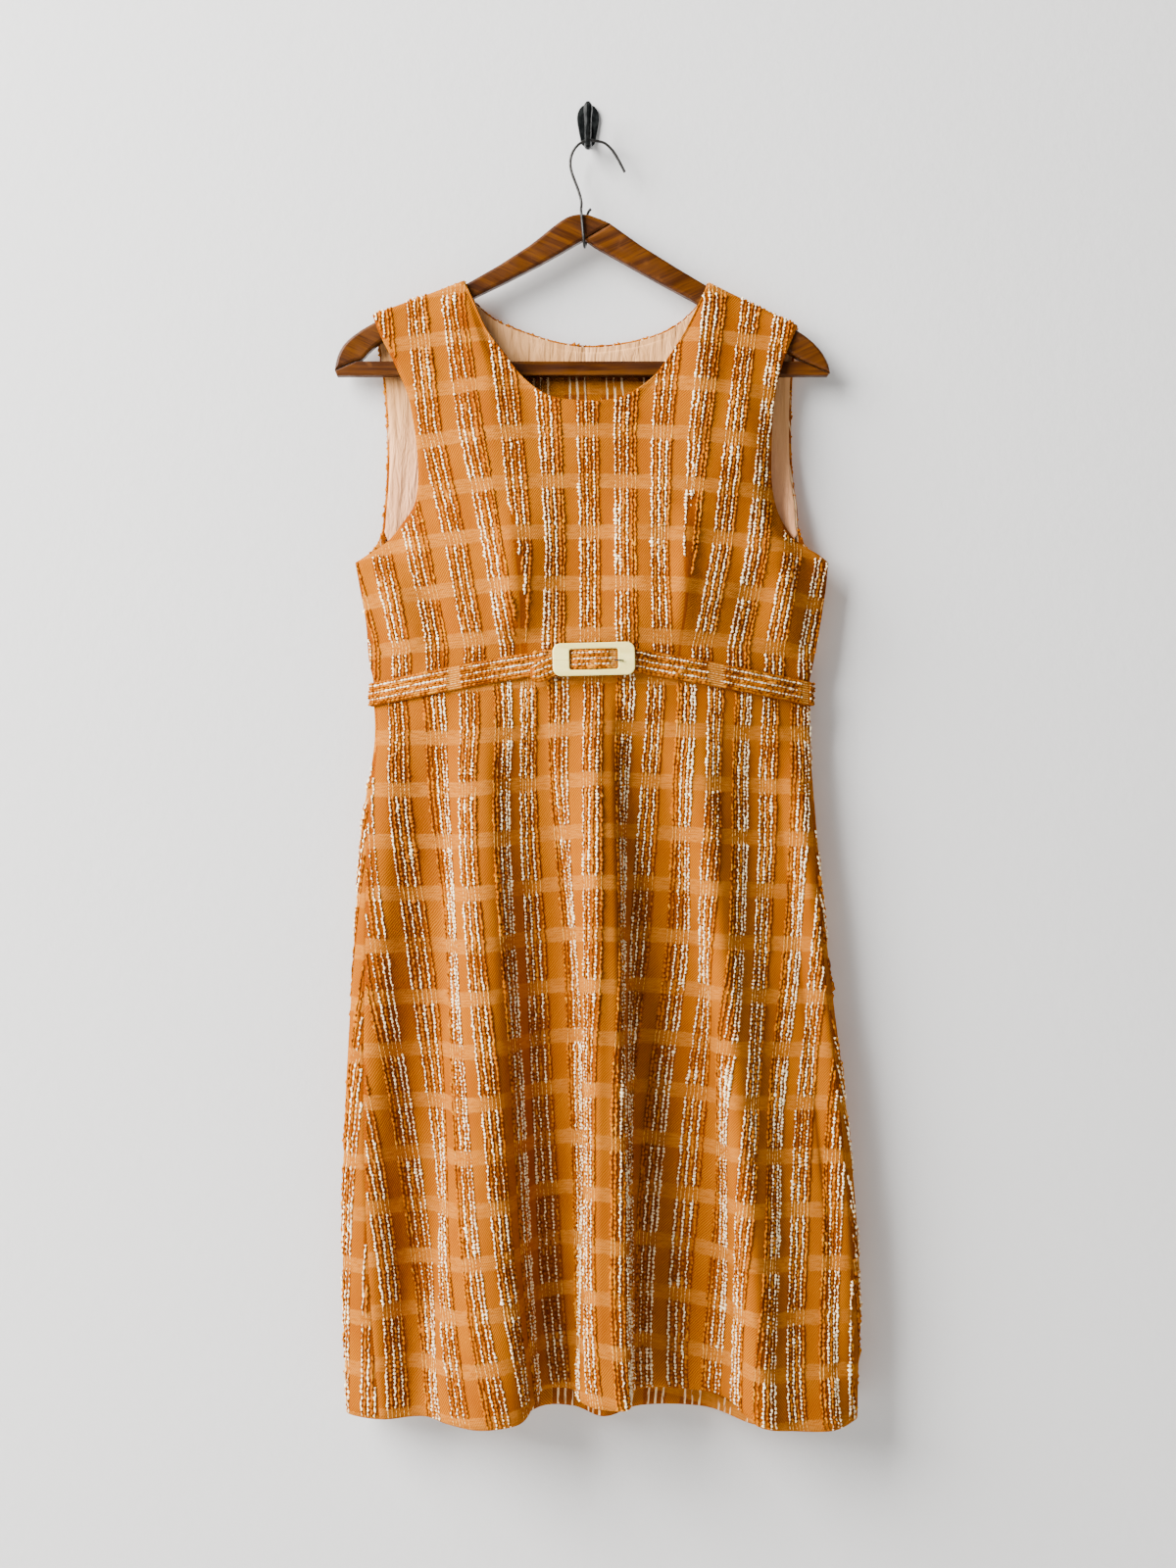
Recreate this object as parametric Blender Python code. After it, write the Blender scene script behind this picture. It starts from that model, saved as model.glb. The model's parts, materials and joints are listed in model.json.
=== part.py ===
"""A sleeveless shift dress with a narrow buckled belt, on a wooden coat hanger that hangs from a
small wall hook.

The wall is the plane y = 0 and everything hangs in front of it, towards -Y.  X runs to the right
as the dress is seen, Z up.  The origin is the middle of the wall hook's flat back.  Sizes here are
in millimetres, and become metres when a mesh is made.
"""
import math
from collections import namedtuple

import bmesh
import bpy
import numpy as np
from mathutils import Matrix, Vector

MM = 0.001

# ---- thicknesses and clearances
CLOTH = 1.8                 # boucle cloth of the dress
LINEN = 1.0                 # facing cloth
BELT = 2.4                  # belt, doubled and stiffened
BELT_WIDTH = 19.0
GAP = 0.3                   # between two pieces that meet

# ---- the hanger and where the cloth hangs on it
HANGER_Y = -17.0            # middle plane of the hanger
ARM_THICK = 12.0
BAR_THICK = 10.0
WRAP = 7.0                  # how far below its seam a shoulder is still turning over the arm
WRAP_POWER = 2.6            # 2 would be an ellipse; more is squarer
FRONT_FALL = -24.6          # depth at which the front hangs just below the shoulders
BACK_FALL = -7.8

# ---- levels
UNDERARM_Z = -391.0
WAIST_Z = -507.0            # the waist seam at the sides
WAIST_RISE = 29.5           # how much higher the seam is at the centre of the front
WAIST_RISE_BACK = 9.0
WAIST_CENTRE_X = 5.0
WAIST_GAP = 0.4
WAIST_FLAT = 40.0           # how far from its centre the seam stays nearly level
HEM_Z = -1138.0             # only sets how deep a level of OUTLINE lies
OPENING = 0.04              # share of the skirt over which the folds start, flat under the belt

# The skirt hangs in folds.  Each row is a crest, a hollow or a side of one, with its place at the
# waist seam, half way down and at the hem, and the height of the hem there.
Fold = namedtuple("Fold", "name waist_x waist_y knee_x knee_y hem_x hem_y hem_z")
FRONT_FOLDS = [
    Fold("left side seam", -187.8, -25.5, -194.0, -44.0, -181.5, -47.0, -1137.0),
    Fold("left hollow", -139.0, -43.0, -147.0, -36.0, -143.0, -42.0, -1136.0),
    Fold("left ridge, near side", -116.0, -49.0, -127.0, -45.0, -121.0, -65.0, -1135.5),
    Fold("left ridge", -101.5, -52.5, -97.0, -66.0, -91.0, -84.0, -1135.0),
    Fold("left ridge, far side", -81.5, -55.5, -74.5, -62.0, -58.5, -79.0, -1131.0),
    Fold("left fall", -68.5, -56.5, -58.7, -47.0, -46.5, -50.0, -1124.0),
    Fold("left valley", -53.0, -57.5, -44.5, -33.0, -37.8, -27.0, -1117.0),
    Fold("left valley, far side", -25.6, -60.0, -23.0, -39.0, -17.2, -30.0, -1116.0),
    Fold("centre rise", -5.0, -61.5, -6.0, -61.0, -7.6, -62.0, -1117.0),
    Fold("centre ridge", 10.0, -62.5, 10.2, -75.0, 10.1, -80.0, -1118.0),
    Fold("centre ridge, far side", 19.6, -62.0, 26.0, -76.0, 32.0, -85.0, -1118.0),
    Fold("centre fall", 25.6, -61.5, 31.5, -56.0, 37.5, -58.0, -1117.5),
    Fold("right valley", 36.0, -60.7, 40.5, -34.0, 45.6, -27.0, -1116.0),
    Fold("right valley, far side", 59.5, -59.0, 72.0, -35.0, 84.5, -28.0, -1116.0),
    Fold("right rise", 85.0, -56.0, 104.4, -46.0, 117.7, -45.0, -1119.0),
    Fold("right ridge", 107.5, -52.5, 126.5, -63.0, 148.0, -83.0, -1133.0),
    Fold("right hollow", 145.5, -43.0, 164.5, -50.0, 178.5, -70.0, -1140.0),
    Fold("right side ridge", 175.0, -33.0, 195.0, -54.0, 211.0, -66.0, -1141.0),
    Fold("right side seam", 193.8, -25.5, 213.9, -42.0, 228.3, -47.0, -1140.0),
]
BACK_FOLDS = [
    Fold("right edge", 194.5, -21.0, 219.8, -29.0, 235.0, -33.0, -1139.0),
    Fold("right turn", 184.0, -14.5, 208.0, -16.0, 224.0, -18.0, -1138.0),
    Fold("right back", 160.0, -11.5, 180.0, -11.0, 196.0, -10.0, -1137.0),
    Fold("behind the right ridge", 125.0, -12.5, 135.0, -27.0, 152.0, -48.0, -1142.0),
    Fold("right of centre", 92.0, -10.5, 95.0, -11.0, 104.0, -10.0, -1137.0),
    Fold("near the centre, right", 50.0, -10.0, 48.0, -10.5, 46.0, -9.5, -1136.0),
    Fold("behind the centre ridge", 26.0, -10.5, 18.0, -21.0, 14.0, -35.0, -1138.0),
    Fold("centre back seam", 3.0, -10.0, -6.0, -12.0, -12.0, -12.0, -1136.0),
    Fold("near the centre, left", -30.0, -10.0, -34.0, -10.0, -38.0, -9.0, -1136.0),
    Fold("behind the left ridge", -85.0, -12.5, -84.0, -28.0, -82.0, -52.0, -1144.0),
    Fold("left back", -125.0, -11.0, -130.0, -10.5, -128.0, -11.0, -1138.0),
    Fold("left back hollow", -150.0, -12.5, -162.0, -19.0, -160.0, -24.0, -1138.0),
    Fold("left turn", -177.0, -14.5, -196.0, -14.5, -197.0, -14.0, -1137.0),
    Fold("left edge", -188.5, -21.0, -209.5, -27.0, -211.5, -28.0, -1137.0),
]
CENTRE_BACK = 7             # the row of BACK_FOLDS that is the centre back seam

# Half widths of the skirt, seen from the front
Level = namedtuple("Level", "name z left right")
OUTLINE = [
    Level("waist", -507.0, -188.5, 194.5),
    Level("high hip", -535.0, -186.8, 194.2),
    Level("hip", -617.0, -197.4, 199.5),
    Level("thigh", -737.0, -205.0, 210.2),
    Level("knee", -865.0, -212.3, 225.0),
    Level("calf", -1000.0, -214.6, 236.4),
    Level("hem", -1138.0, -211.0, 235.0),
]

# The bodice's edges, each going up from the waist to the shoulder
Edge = namedtuple("Edge", "z x")
LEFT_SIDE = [Edge(-507, -187.8), Edge(-496, -188.0), Edge(-480, -191.5), Edge(-440, -195.5),
             Edge(-413, -200.5), Edge(-391, -204.5)]
RIGHT_SIDE = [Edge(-507, 193.8), Edge(-496, 194.0), Edge(-482, 197.0), Edge(-447, 203.8),
              Edge(-413, 209.0), Edge(-391, 211.3)]
FRONT_LEFT_ARMHOLE = [Edge(-391, -204.5), Edge(-381, -188.0), Edge(-373.4, -177.2),
                      Edge(-356.6, -162.8), Edge(-343, -153.0), Edge(-328, -149.2),
                      Edge(-305, -148.6), Edge(-268, -152.6), Edge(-245, -157.4),
                      Edge(-215, -170.2), Edge(-190.5, -182.5), Edge(-171.7, -189.6)]
FRONT_RIGHT_ARMHOLE = [Edge(-391, 211.3), Edge(-384, 202.7), Edge(-375.6, 187.5),
                       Edge(-361, 173.8), Edge(-349, 167.1), Edge(-336, 162.9), Edge(-317, 160.4),
                       Edge(-291, 160.4), Edge(-268, 161.4), Edge(-245, 163.8), Edge(-215, 171.0),
                       Edge(-181.2, 184.4)]
BACK_LEFT_ARMHOLE = [Edge(-391, -204.5), Edge(-381, -190.5), Edge(-367.5, -182.5),
                     Edge(-346.7, -179.8), Edge(-316, -177.8), Edge(-287, -177.5),
                     Edge(-257, -178.9), Edge(-226.8, -181.5), Edge(-200, -185.5),
                     Edge(-171.7, -189.6)]
BACK_RIGHT_ARMHOLE = [Edge(-391, 211.3), Edge(-381, 195.5), Edge(-367.5, 187.1),
                      Edge(-340.6, 184.1), Edge(-316.8, 181.1), Edge(-287, 179.8),
                      Edge(-257, 180.0), Edge(-226.8, 181.1), Edge(-200, 183.0),
                      Edge(-181.2, 184.4)]

# Shoulder seams and necklines, from the left shoulder's end to the right one's
SHOULDER_LEFT = Edge(-171.7, -189.6)
NECK_LEFT = Edge(-142.3, -109.1)
NECK_RIGHT = Edge(-143.9, 106.5)
SHOULDER_RIGHT = Edge(-181.2, 184.4)
FRONT_NECKLINE = [NECK_LEFT, Edge(-160.7, -101.0), Edge(-188.7, -88.2), Edge(-208, -73.8),
                  Edge(-228, -59.0), Edge(-241.5, -43.6), Edge(-249, -28.2), Edge(-252, 0.0),
                  Edge(-250, 23.9), Edge(-242.2, 41.0), Edge(-229.4, 57.3), Edge(-215, 68.5),
                  Edge(-195.0, 81.5), Edge(-170.2, 94.5), NECK_RIGHT]
BACK_NECKLINE = [NECK_LEFT, Edge(-156.8, -100.9), Edge(-172.9, -82.6), Edge(-184.7, -54.8),
                 Edge(-193.0, -28.0), Edge(-196.8, 2.6), Edge(-193.2, 36.0), Edge(-184.6, 66.0),
                 Edge(-173.5, 84.3), Edge(-159.0, 98.0), NECK_RIGHT]

# Depths of the bodice.  A row is a height: 0 the waist seam, 1 the underarm, 2 just below the
# shoulder seam or the neckline.  A column is a place across, from 0 at the left edge to 1.
ACROSS = (0.0, 0.12, 0.31, 0.5, 0.69, 0.88, 1.0)
Depths = namedtuple("Depths", "height y")
FRONT_DEPTHS = [
    Depths(0.0, (-25.5, -44.0, -57.0, -62.5, -57.0, -44.0, -25.5)),
    Depths(0.35, (-24.5, -42.0, -60.0, -59.0, -60.0, -42.0, -24.5)),
    Depths(0.7, (-24.0, -42.0, -62.0, -57.0, -62.0, -42.0, -24.0)),
    Depths(1.0, (-23.5, -42.0, -60.0, -55.0, -60.0, -43.0, -23.5)),
    Depths(1.4, (-33.0, -44.0, -53.0, -51.0, -53.0, -45.0, -33.0)),
    Depths(1.75, (-29.0, -34.0, -43.0, -47.0, -43.0, -35.0, -29.0)),
    Depths(2.0, (FRONT_FALL, FRONT_FALL, -35.0, -44.0, -35.0, FRONT_FALL, FRONT_FALL)),
]
BACK_DEPTHS = [
    Depths(0.0, (-25.5, -13.0, -10.5, -10.5, -10.5, -13.0, -25.5)),
    Depths(0.35, (-24.5, -13.0, -10.0, -11.0, -10.0, -13.0, -24.5)),
    Depths(0.7, (-24.0, -13.5, -9.5, -11.5, -9.5, -13.5, -24.0)),
    Depths(1.0, (-23.5, -13.5, -9.5, -11.5, -9.5, -13.5, -23.5)),
    Depths(1.5, (-11.0, -9.6, -8.6, -9.6, -8.6, -9.6, -11.0)),
    Depths(1.75, (BACK_FALL, BACK_FALL, BACK_FALL, BACK_FALL, BACK_FALL, BACK_FALL, BACK_FALL)),
    Depths(2.0, (BACK_FALL, BACK_FALL, BACK_FALL, BACK_FALL, BACK_FALL, BACK_FALL, BACK_FALL)),
]

# Soft folds of the front bodice: a ridge along a line, with its width and how far it stands out
Tuck = namedtuple("Tuck", "name top_x top_z low_x low_z width rise")
TUCKS = [
    Tuck("left bust dart", -72.0, -345.0, -60.0, -480.0, 15.0, 6.5),
    Tuck("right bust dart", 88.0, -345.0, 79.0, -480.0, 15.0, 6.5),
    Tuck("left of centre", -26.0, -330.0, -22.0, -470.0, 18.0, -3.5),
    Tuck("right of centre", 38.0, -330.0, 38.0, -470.0, 16.0, 3.0),
    Tuck("left drag", -176.0, -405.0, -140.0, -492.0, 12.0, 5.0),
    Tuck("left drag hollow", -146.0, -385.0, -108.0, -480.0, 14.0, -4.5),
    Tuck("right drag", 166.0, -372.0, 176.0, -492.0, 13.0, 5.0),
    Tuck("right drag hollow", 140.0, -380.0, 136.0, -486.0, 14.0, -4.0),
]

UNDER_BELT = 0.12           # height row up to which the bodice is flat under the belt

# Mesh rows and columns
SKIRT_ROWS = (1.0, 0.93, 0.85, 0.77, 0.68, 0.6, 0.51, 0.42, 0.34, 0.26, 0.18, 0.11, 0.06, 0.025, 0.0)
BODICE_ROWS = (0.0, 0.12, 0.27, 0.48, 0.75, 1.0, 1.09, 1.18, 1.28, 1.4, 1.55, 1.7, 1.85, 2.0, 2.35,
               2.6, 2.82, 3.0)
SPAN_STEPS = 3              # columns between two rows of the fold tables
STRAP_COLUMNS = 7
FRONT_NECK_COLUMNS = 24
BACK_NECK_COLUMNS = 18
NECK_CROWD = (0.0, 1.5, 3.5, 7.0)       # distances of the first columns from the shoulder seam

# Back facing, inside the neck and armholes: its lower edge, from the centre out
FACING_LOW = [(0.0, -219.0), (60.0, -221.0), (100.0, -262.0), (130.0, -320.0), (155.0, -378.0),
              (205.0, -425.0)]
FACING_BELOW_SEAM = 9.0     # it ends this far below the shoulder seam
FACING_INSET = 2.0          # left bare at the armhole, and below it at the side seam
FACING_SIDE_INSET = 8.0
FACING_EASE = 0.6           # between it and the back
FACING_LOOSE = 1.4          # more at its free lower edge
FACING_FREE = 0.5           # height rows over which that goes to nothing
FACING_ROWS = (0.75, 1.0, 1.09, 1.18, 1.28, 1.4, 1.55, 1.7, 1.85, 2.0, 2.35, 2.5)
FACING_CROWD = 0.012        # least step between rows where its edges cut across them

# Buckle
BUCKLE_X = 5.0
BUCKLE_Z = -478.4
BUCKLE_W, BUCKLE_H, BUCKLE_CORNER = 70.5, 28.1, 7.0
BUCKLE_HOLE_W, BUCKLE_HOLE_H, BUCKLE_HOLE_CORNER = 41.8, 17.8, 2.0
BUCKLE_BACK, BUCKLE_THICK = -68.8, 3.5
BUCKLE_EDGE = 0.9
BUCKLE_TILT = 1.4           # degrees

# The belt's free end, from the right of the buckle, behind its frame, out through the opening and
# behind the frame again, to the tip that hangs over the other end
Strap = namedtuple("Strap", "name x y z width")
FREE_END = [
    Strap("beside the buckle", 47.0, -64.6, -480.0, 19.0),
    Strap("behind the right bar", 38.0, -66.6, -479.0, 18.2),
    Strap("right edge of the opening", 26.8, -67.0, -478.0, 15.8),
    Strap("in the opening, right", 20.0, -69.2, -478.1, 15.8),
    Strap("middle of the opening", 5.0, -70.1, -478.5, 15.8),
    Strap("in the opening, left", -9.5, -69.2, -478.9, 15.8),
    Strap("left edge of the opening", -16.0, -67.1, -479.4, 15.8),
    Strap("behind the left bar", -25.0, -66.6, -481.8, 17.6),
    Strap("clear of the buckle", -34.0, -67.2, -485.4, 18.6),
    Strap("near the tip", -42.0, -67.6, -488.4, 18.0),
    Strap("tip, rounding", -46.2, -67.6, -489.8, 14.5),
    Strap("tip", -49.0, -67.4, -490.6, 6.5),
]
BELT_EASE = 0.5             # between the belt and the dress
BELT_LEFT_END_X = -20.0     # the sewn end, hidden behind the buckle's left bar
BELT_SIDE_LEFT_X = -186.0   # where the front and back stretches of the belt meet
BELT_SIDE_RIGHT_X = 192.0

PRONG = [(23.0, -72.0, -479.2), (26.3, -73.3, -479.4), (30.8, -73.6, -479.8)]
PRONG_R = 0.65

# Hanger arms, seen from the front: top line out to the tip, and the underside back again
LEFT_ARM_TOP = [(19.8, -91.4), (1.7, -84.0), (-8.6, -83.2), (-19.0, -86.0), (-31.9, -95.0),
                (-51.8, -110.8), (-106.1, -143.9), (-146.7, -160.8), (-189.8, -179.4),
                (-207.0, -190.2), (-216.0, -199.0), (-221.0, -209.0), (-223.4, -220.4)]
LEFT_ARM_UNDER = [(-205.3, -212.5), (-199.0, -211.0), (-193.2, -204.8), (-183.0, -196.0),
                  (-146.7, -176.0), (-101.8, -156.9), (-42.3, -127.4), (-3.0, -105.0)]
RIGHT_ARM_TOP = [(46.6, -110.6), (106.1, -147.0), (147.0, -166.6), (183.8, -185.2),
                 (199.5, -197.0), (208.0, -207.5), (212.4, -217.0), (213.4, -223.0)]
RIGHT_ARM_UNDER = [(190.7, -213.4), (177.7, -206.0), (163.0, -193.5), (97.5, -161.9),
                   (35.4, -128.0), (6.0, -111.4)]
JOINT_LOW = (-3.0, -105.0)   # the line along which the right arm butts against the left one
JOINT_HIGH = (19.8, -91.4)
BAR_TOP, BAR_LOW = -212.8, -225.5
BAR_LEFT_JOINT = [(-223.2, -221.2), (-204.0, BAR_TOP)]    # slanted ends under the arms' tips
BAR_RIGHT_JOINT = [(187.6, BAR_TOP), (212.9, -223.6)]
WOOD_EDGE = 2.4             # rounding of the wood's edges

# Steel wire of the hanger's hook, from its free end over the wall hook, down in front of the
# wood, round under it and up behind to a short stub
WIRE_R = 1.25
WIRE = [(32.5, -17.0, -44.9), (27.7, -17.0, -35.6), (21.6, -17.0, -25.6), (15.0, -17.0, -19.4),
        (7.8, -17.0, -17.4), (0.9, -17.0, -17.1), (-5.6, -17.0, -18.6), (-11.2, -17.0, -23.4),
        (-14.9, -17.0, -31.0), (-15.6, -17.0, -38.8), (-13.9, -17.0, -46.6),
        (-10.4, -17.0, -55.8), (-6.9, -17.0, -66.0), (-5.7, -17.6, -73.0), (-6.1, -20.6, -78.4),
        (-5.9, -24.3, -82.0), (-5.4, -24.8, -87.0), (-4.6, -24.8, -96.0), (-3.9, -24.7, -104.0),
        (-3.4, -23.0, -109.2), (-3.0, -17.0, -111.0), (-2.4, -11.0, -109.2), (-1.8, -9.2, -104.0),
        (-1.2, -9.2, -92.0), (-0.8, -9.4, -83.0), (0.2, -11.2, -78.6), (2.4, -13.4, -76.6)]

# Wall hook
PLATE_THICK = 2.6
PLATE = [(0.0, 20.2), (5.6, 18.3), (9.0, 13.0), (9.8, 6.5), (8.6, -2.0), (7.2, -9.0),
         (5.6, -15.5), (0.0, -18.5), (-5.6, -15.5), (-7.2, -9.0), (-8.6, -2.0), (-9.8, 6.5),
         (-9.0, 13.0), (-5.6, 18.3)]
Bend = namedtuple("Bend", "y z radius")
HOOK_ARM = [Bend(-3.0, 3.0, 2.2), Bend(-3.6, -5.0, 3.1), Bend(-5.4, -13.0, 3.4),
            Bend(-9.8, -19.0, 3.4), Bend(-17.0, -21.7, 3.0), Bend(-24.0, -18.4, 2.7), Bend(-28.6, -10.5, 2.8),
            Bend(-30.4, -1.0, 3.2), Bend(-31.0, 6.0, 3.9), Bend(-31.3, 10.0, 3.4),
            Bend(-31.4, 12.6, 1.6)]


# ---------------------------------------------------------------------------- curves and grids

def between(p, q, low, high, t):
    return ((high - t) * p + (t - low) * q) / (high - low)


def through(points, steps, closed=False):
    """A smooth line through the points, with the given steps between each two of them.

    Numbers after the third ride along and don't affect how the line runs.
    """
    pts = [np.array(p, float) for p in points]
    if closed:
        chain = [pts[-1]] + pts + pts[:2]
    else:
        chain = [2 * pts[0] - pts[1]] + pts + [2 * pts[-1] - pts[-2]]
    line = []
    for a, b, c, d in zip(chain, chain[1:], chain[2:], chain[3:]):
        k = [0.0]
        for p, q in ((a, b), (b, c), (c, d)):
            k.append(k[-1] + math.sqrt(np.linalg.norm((q - p)[:3])))
        for i in range(steps):
            t = k[1] + (k[2] - k[1]) * i / steps
            ab, bc, cd = (between(a, b, k[0], k[1], t), between(b, c, k[1], k[2], t),
                          between(c, d, k[2], k[3], t))
            line.append(between(between(ab, bc, k[0], k[2], t), between(bc, cd, k[1], k[3], t),
                                k[1], k[2], t))
    if not closed:
        line.append(pts[-1])
    return np.array(line)


def glide(xs, ys, x):
    """A smooth value at x from the values ys at the rising places xs."""
    xs, ys = np.asarray(xs, float), np.asarray(ys, float)
    steps = np.diff(ys) / np.diff(xs)
    slopes = np.empty_like(ys)
    slopes[0], slopes[-1] = steps[0], steps[-1]
    left, right = np.diff(xs)[:-1], np.diff(xs)[1:]
    slopes[1:-1] = (steps[:-1] * right + steps[1:] * left) / (left + right)
    x = np.clip(x, xs[0], xs[-1])
    i = np.clip(np.searchsorted(xs, x, side="right") - 1, 0, len(xs) - 2)
    h = xs[i + 1] - xs[i]
    s = (x - xs[i]) / h
    return (ys[i] * (1 + 2 * s) * (1 - s) ** 2 + slopes[i] * h * s * (1 - s) ** 2
            + ys[i + 1] * s * s * (3 - 2 * s) + slopes[i + 1] * h * s * s * (s - 1))


def ease(s):
    s = np.clip(s, 0.0, 1.0)
    return s * s * (3 - 2 * s)


def edge_x(edge, z):
    """Where an edge of the bodice is at the height z."""
    rows = sorted(edge)
    return glide([row.z for row in rows], [row.x for row in rows], z)


def outward(grid):
    """Unit normals of a grid of points whose rows go up and whose columns go round."""
    across = np.gradient(grid, axis=1)
    up = np.gradient(grid, axis=0)
    normals = np.cross(across, up)
    return normals / np.linalg.norm(normals, axis=2, keepdims=True)


# ---------------------------------------------------------------------------- the dress's form

def waist_z(x, rise):
    """Height of the waist seam at x, on the side of the dress where it rises that much."""
    off, far = (np.hypot(v - WAIST_CENTRE_X, WAIST_FLAT) - WAIST_FLAT
                for v in (x, LEFT_SIDE[0].x))
    return WAIST_Z + rise * (1 - np.minimum(off / far, 1.0))


def skirt_line(t, steps=SPAN_STEPS):
    """The closed line round the skirt at t, from 0 at the waist seam to 1 at the hem."""
    s = (t - OPENING * (1 - math.exp(-t / OPENING))) / (1 - OPENING * (1 - math.exp(-1 / OPENING)))
    waist, knee, hem = (1 - s) * (1 - 2 * s), 4 * s * (1 - s), s * (2 * s - 1)
    points = []
    for folds, rise in ((FRONT_FOLDS, WAIST_RISE), (BACK_FOLDS, WAIST_RISE_BACK)):
        for fold in folds:
            x = waist * fold.waist_x + knee * fold.knee_x + hem * fold.hem_x
            y = waist * fold.waist_y + knee * fold.knee_y + hem * fold.hem_y
            z = waist_z(fold.waist_x, rise) * (1 - t) + fold.hem_z * t
            points.append((x, y, z, fold.waist_x, fold.hem_z))
    line = through(points, steps, closed=True)
    rise = np.where(np.arange(len(line)) < len(FRONT_FOLDS) * steps, WAIST_RISE, WAIST_RISE_BACK)
    line[:, 2] = waist_z(line[:, 3], rise) * (1 - t) + line[:, 4] * t
    line = line[:, :3]
    levels = [(WAIST_Z - row.z) / (WAIST_Z - HEM_Z) for row in OUTLINE]
    left = glide(levels, [row.left for row in OUTLINE], t) / line[:, 0].min()
    right = glide(levels, [row.right for row in OUTLINE], t) / line[:, 0].max()
    line[:, 0] *= np.where(line[:, 0] < 0, left, right)
    return line


def skirt_grid():
    """All round the skirt, hem to waist, from the left side seam over the front and back to it."""
    lines = [skirt_line(t) for t in SKIRT_ROWS]
    return np.array([np.vstack([line, line[:1]]) for line in lines])


def top_line(neckline, strap_columns, neck_columns):
    """Points along a panel's top: shoulder seam, neckline, shoulder seam."""
    left = np.linspace((SHOULDER_LEFT.x, SHOULDER_LEFT.z), (NECK_LEFT.x, NECK_LEFT.z),
                       strap_columns + 1)
    right = np.linspace((NECK_RIGHT.x, NECK_RIGHT.z), (SHOULDER_RIGHT.x, SHOULDER_RIGHT.z),
                        strap_columns + 1)
    fine = through([(edge.x, edge.z) for edge in neckline], 12)
    run = np.concatenate([[0.0], np.cumsum(np.linalg.norm(np.diff(fine, axis=0), axis=1))])
    middle = np.linspace(NECK_CROWD[-1], run[-1] - NECK_CROWD[-1],
                         neck_columns + 3 - 2 * len(NECK_CROWD))
    places = [*NECK_CROWD, *middle[1:-1], *[run[-1] - step for step in NECK_CROWD[::-1]]]
    neck = np.column_stack([np.interp(places, run, fine[:, 0]), np.interp(places, run, fine[:, 1])])
    return np.vstack([left, neck[1:-1], right])


def shoulder_z(x):
    """Height of the shoulder seam's line at x, carried on across the neck."""
    ends = (SHOULDER_LEFT, NECK_LEFT) if x < 0 else (SHOULDER_RIGHT, NECK_RIGHT)
    slope = (ends[1].z - ends[0].z) / (ends[1].x - ends[0].x)
    return ends[1].z + slope * (x - ends[1].x)


def over_the_arm(x, y, z):
    """The depth of a point near the shoulder seam, turned over the hanger's arm."""
    drop = shoulder_z(x) - z
    if drop >= WRAP:
        return y
    turned = (1 - (1 - max(drop, 0.0) / WRAP) ** WRAP_POWER) ** (1 / WRAP_POWER)
    return HANGER_Y + (y - HANGER_Y) * turned


def tuck_rise(x, z):
    """How far the soft folds lift the front bodice at a point."""
    total = 0.0
    for tuck in TUCKS:
        along = np.array([tuck.low_x - tuck.top_x, tuck.low_z - tuck.top_z])
        offset = np.array([x - tuck.top_x, z - tuck.top_z])
        s = float(np.dot(offset, along) / np.dot(along, along))
        away = float(np.linalg.norm(offset - np.clip(s, 0.0, 1.0) * along))
        fade = math.sin(math.pi * min(max(s, 0.0), 1.0)) ** 0.5
        total += tuck.rise * fade * math.exp(-(away / tuck.width) ** 2)
    return total


class Bodice:
    """One side of the bodice as a surface: place across from 0 to 1, and height row."""

    def __init__(self, left, right, neckline, depths, waist_line, waist_rise, neck_columns,
                 tucks):
        self.left, self.right, self.depths, self.tucks = left, right, depths, tucks
        self.waist_rise = waist_rise
        order = np.argsort(waist_line[:, 0])
        self.waist = waist_line[order]
        self.top = top_line(neckline, STRAP_COLUMNS, neck_columns)
        width = SHOULDER_RIGHT.x - SHOULDER_LEFT.x
        self.columns = (self.top[:, 0] - SHOULDER_LEFT.x) / width

    def depth(self, f, height):
        rows = [glide(ACROSS, row.y, f) for row in self.depths]
        return float(glide([row.height for row in self.depths], rows, min(height, 2.0)))

    def point(self, f, height):
        if height <= 1:
            side_z = WAIST_Z + (UNDERARM_Z - WAIST_Z) * height
            x = float((1 - f) * edge_x(LEFT_SIDE, side_z) + f * edge_x(RIGHT_SIDE, side_z))
            x_low = (1 - f) * self.waist[0, 0] + f * self.waist[-1, 0]
            y_low = float(np.interp(x_low, self.waist[:, 0], self.waist[:, 1]))
            z_low = float(waist_z(x_low, self.waist_rise))
            x += (x_low - (1 - f) * LEFT_SIDE[0].x - f * RIGHT_SIDE[0].x) * (1 - height)
            z = z_low + (UNDERARM_Z - z_low) * height
            fade = ease((height - UNDER_BELT) / 0.33)
            y = self.depth(f, height) * fade + y_low * (1 - fade)
        else:
            top_x = SHOULDER_LEFT.x + f * (SHOULDER_RIGHT.x - SHOULDER_LEFT.x)
            top_z = float(np.interp(top_x, self.top[:, 0], self.top[:, 1]))
            ends = [self.rise(end.z, height) for end in (SHOULDER_LEFT, SHOULDER_RIGHT)]
            x = float((1 - f) * edge_x(self.left, ends[0]) + f * edge_x(self.right, ends[1]))
            z = self.rise(top_z, height)
            y = self.depth(f, height)
            fade = 1.0
        if self.tucks:
            y -= fade * tuck_rise(x, z) * ease(min(f, 1 - f) / 0.05)
        return x, over_the_arm(x, y, z), z

    def rise(self, top_z, height):
        """A height row above the underarm, in a column that ends at top_z."""
        if height <= 2:
            return UNDERARM_Z + (top_z - WRAP - UNDERARM_Z) * (height - 1)
        return top_z - WRAP * (3 - height) ** 2

    def grid(self, columns, rows):
        return np.array([[self.point(f, row) for f in columns] for row in rows])


# ---------------------------------------------------------------------------- meshes

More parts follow.
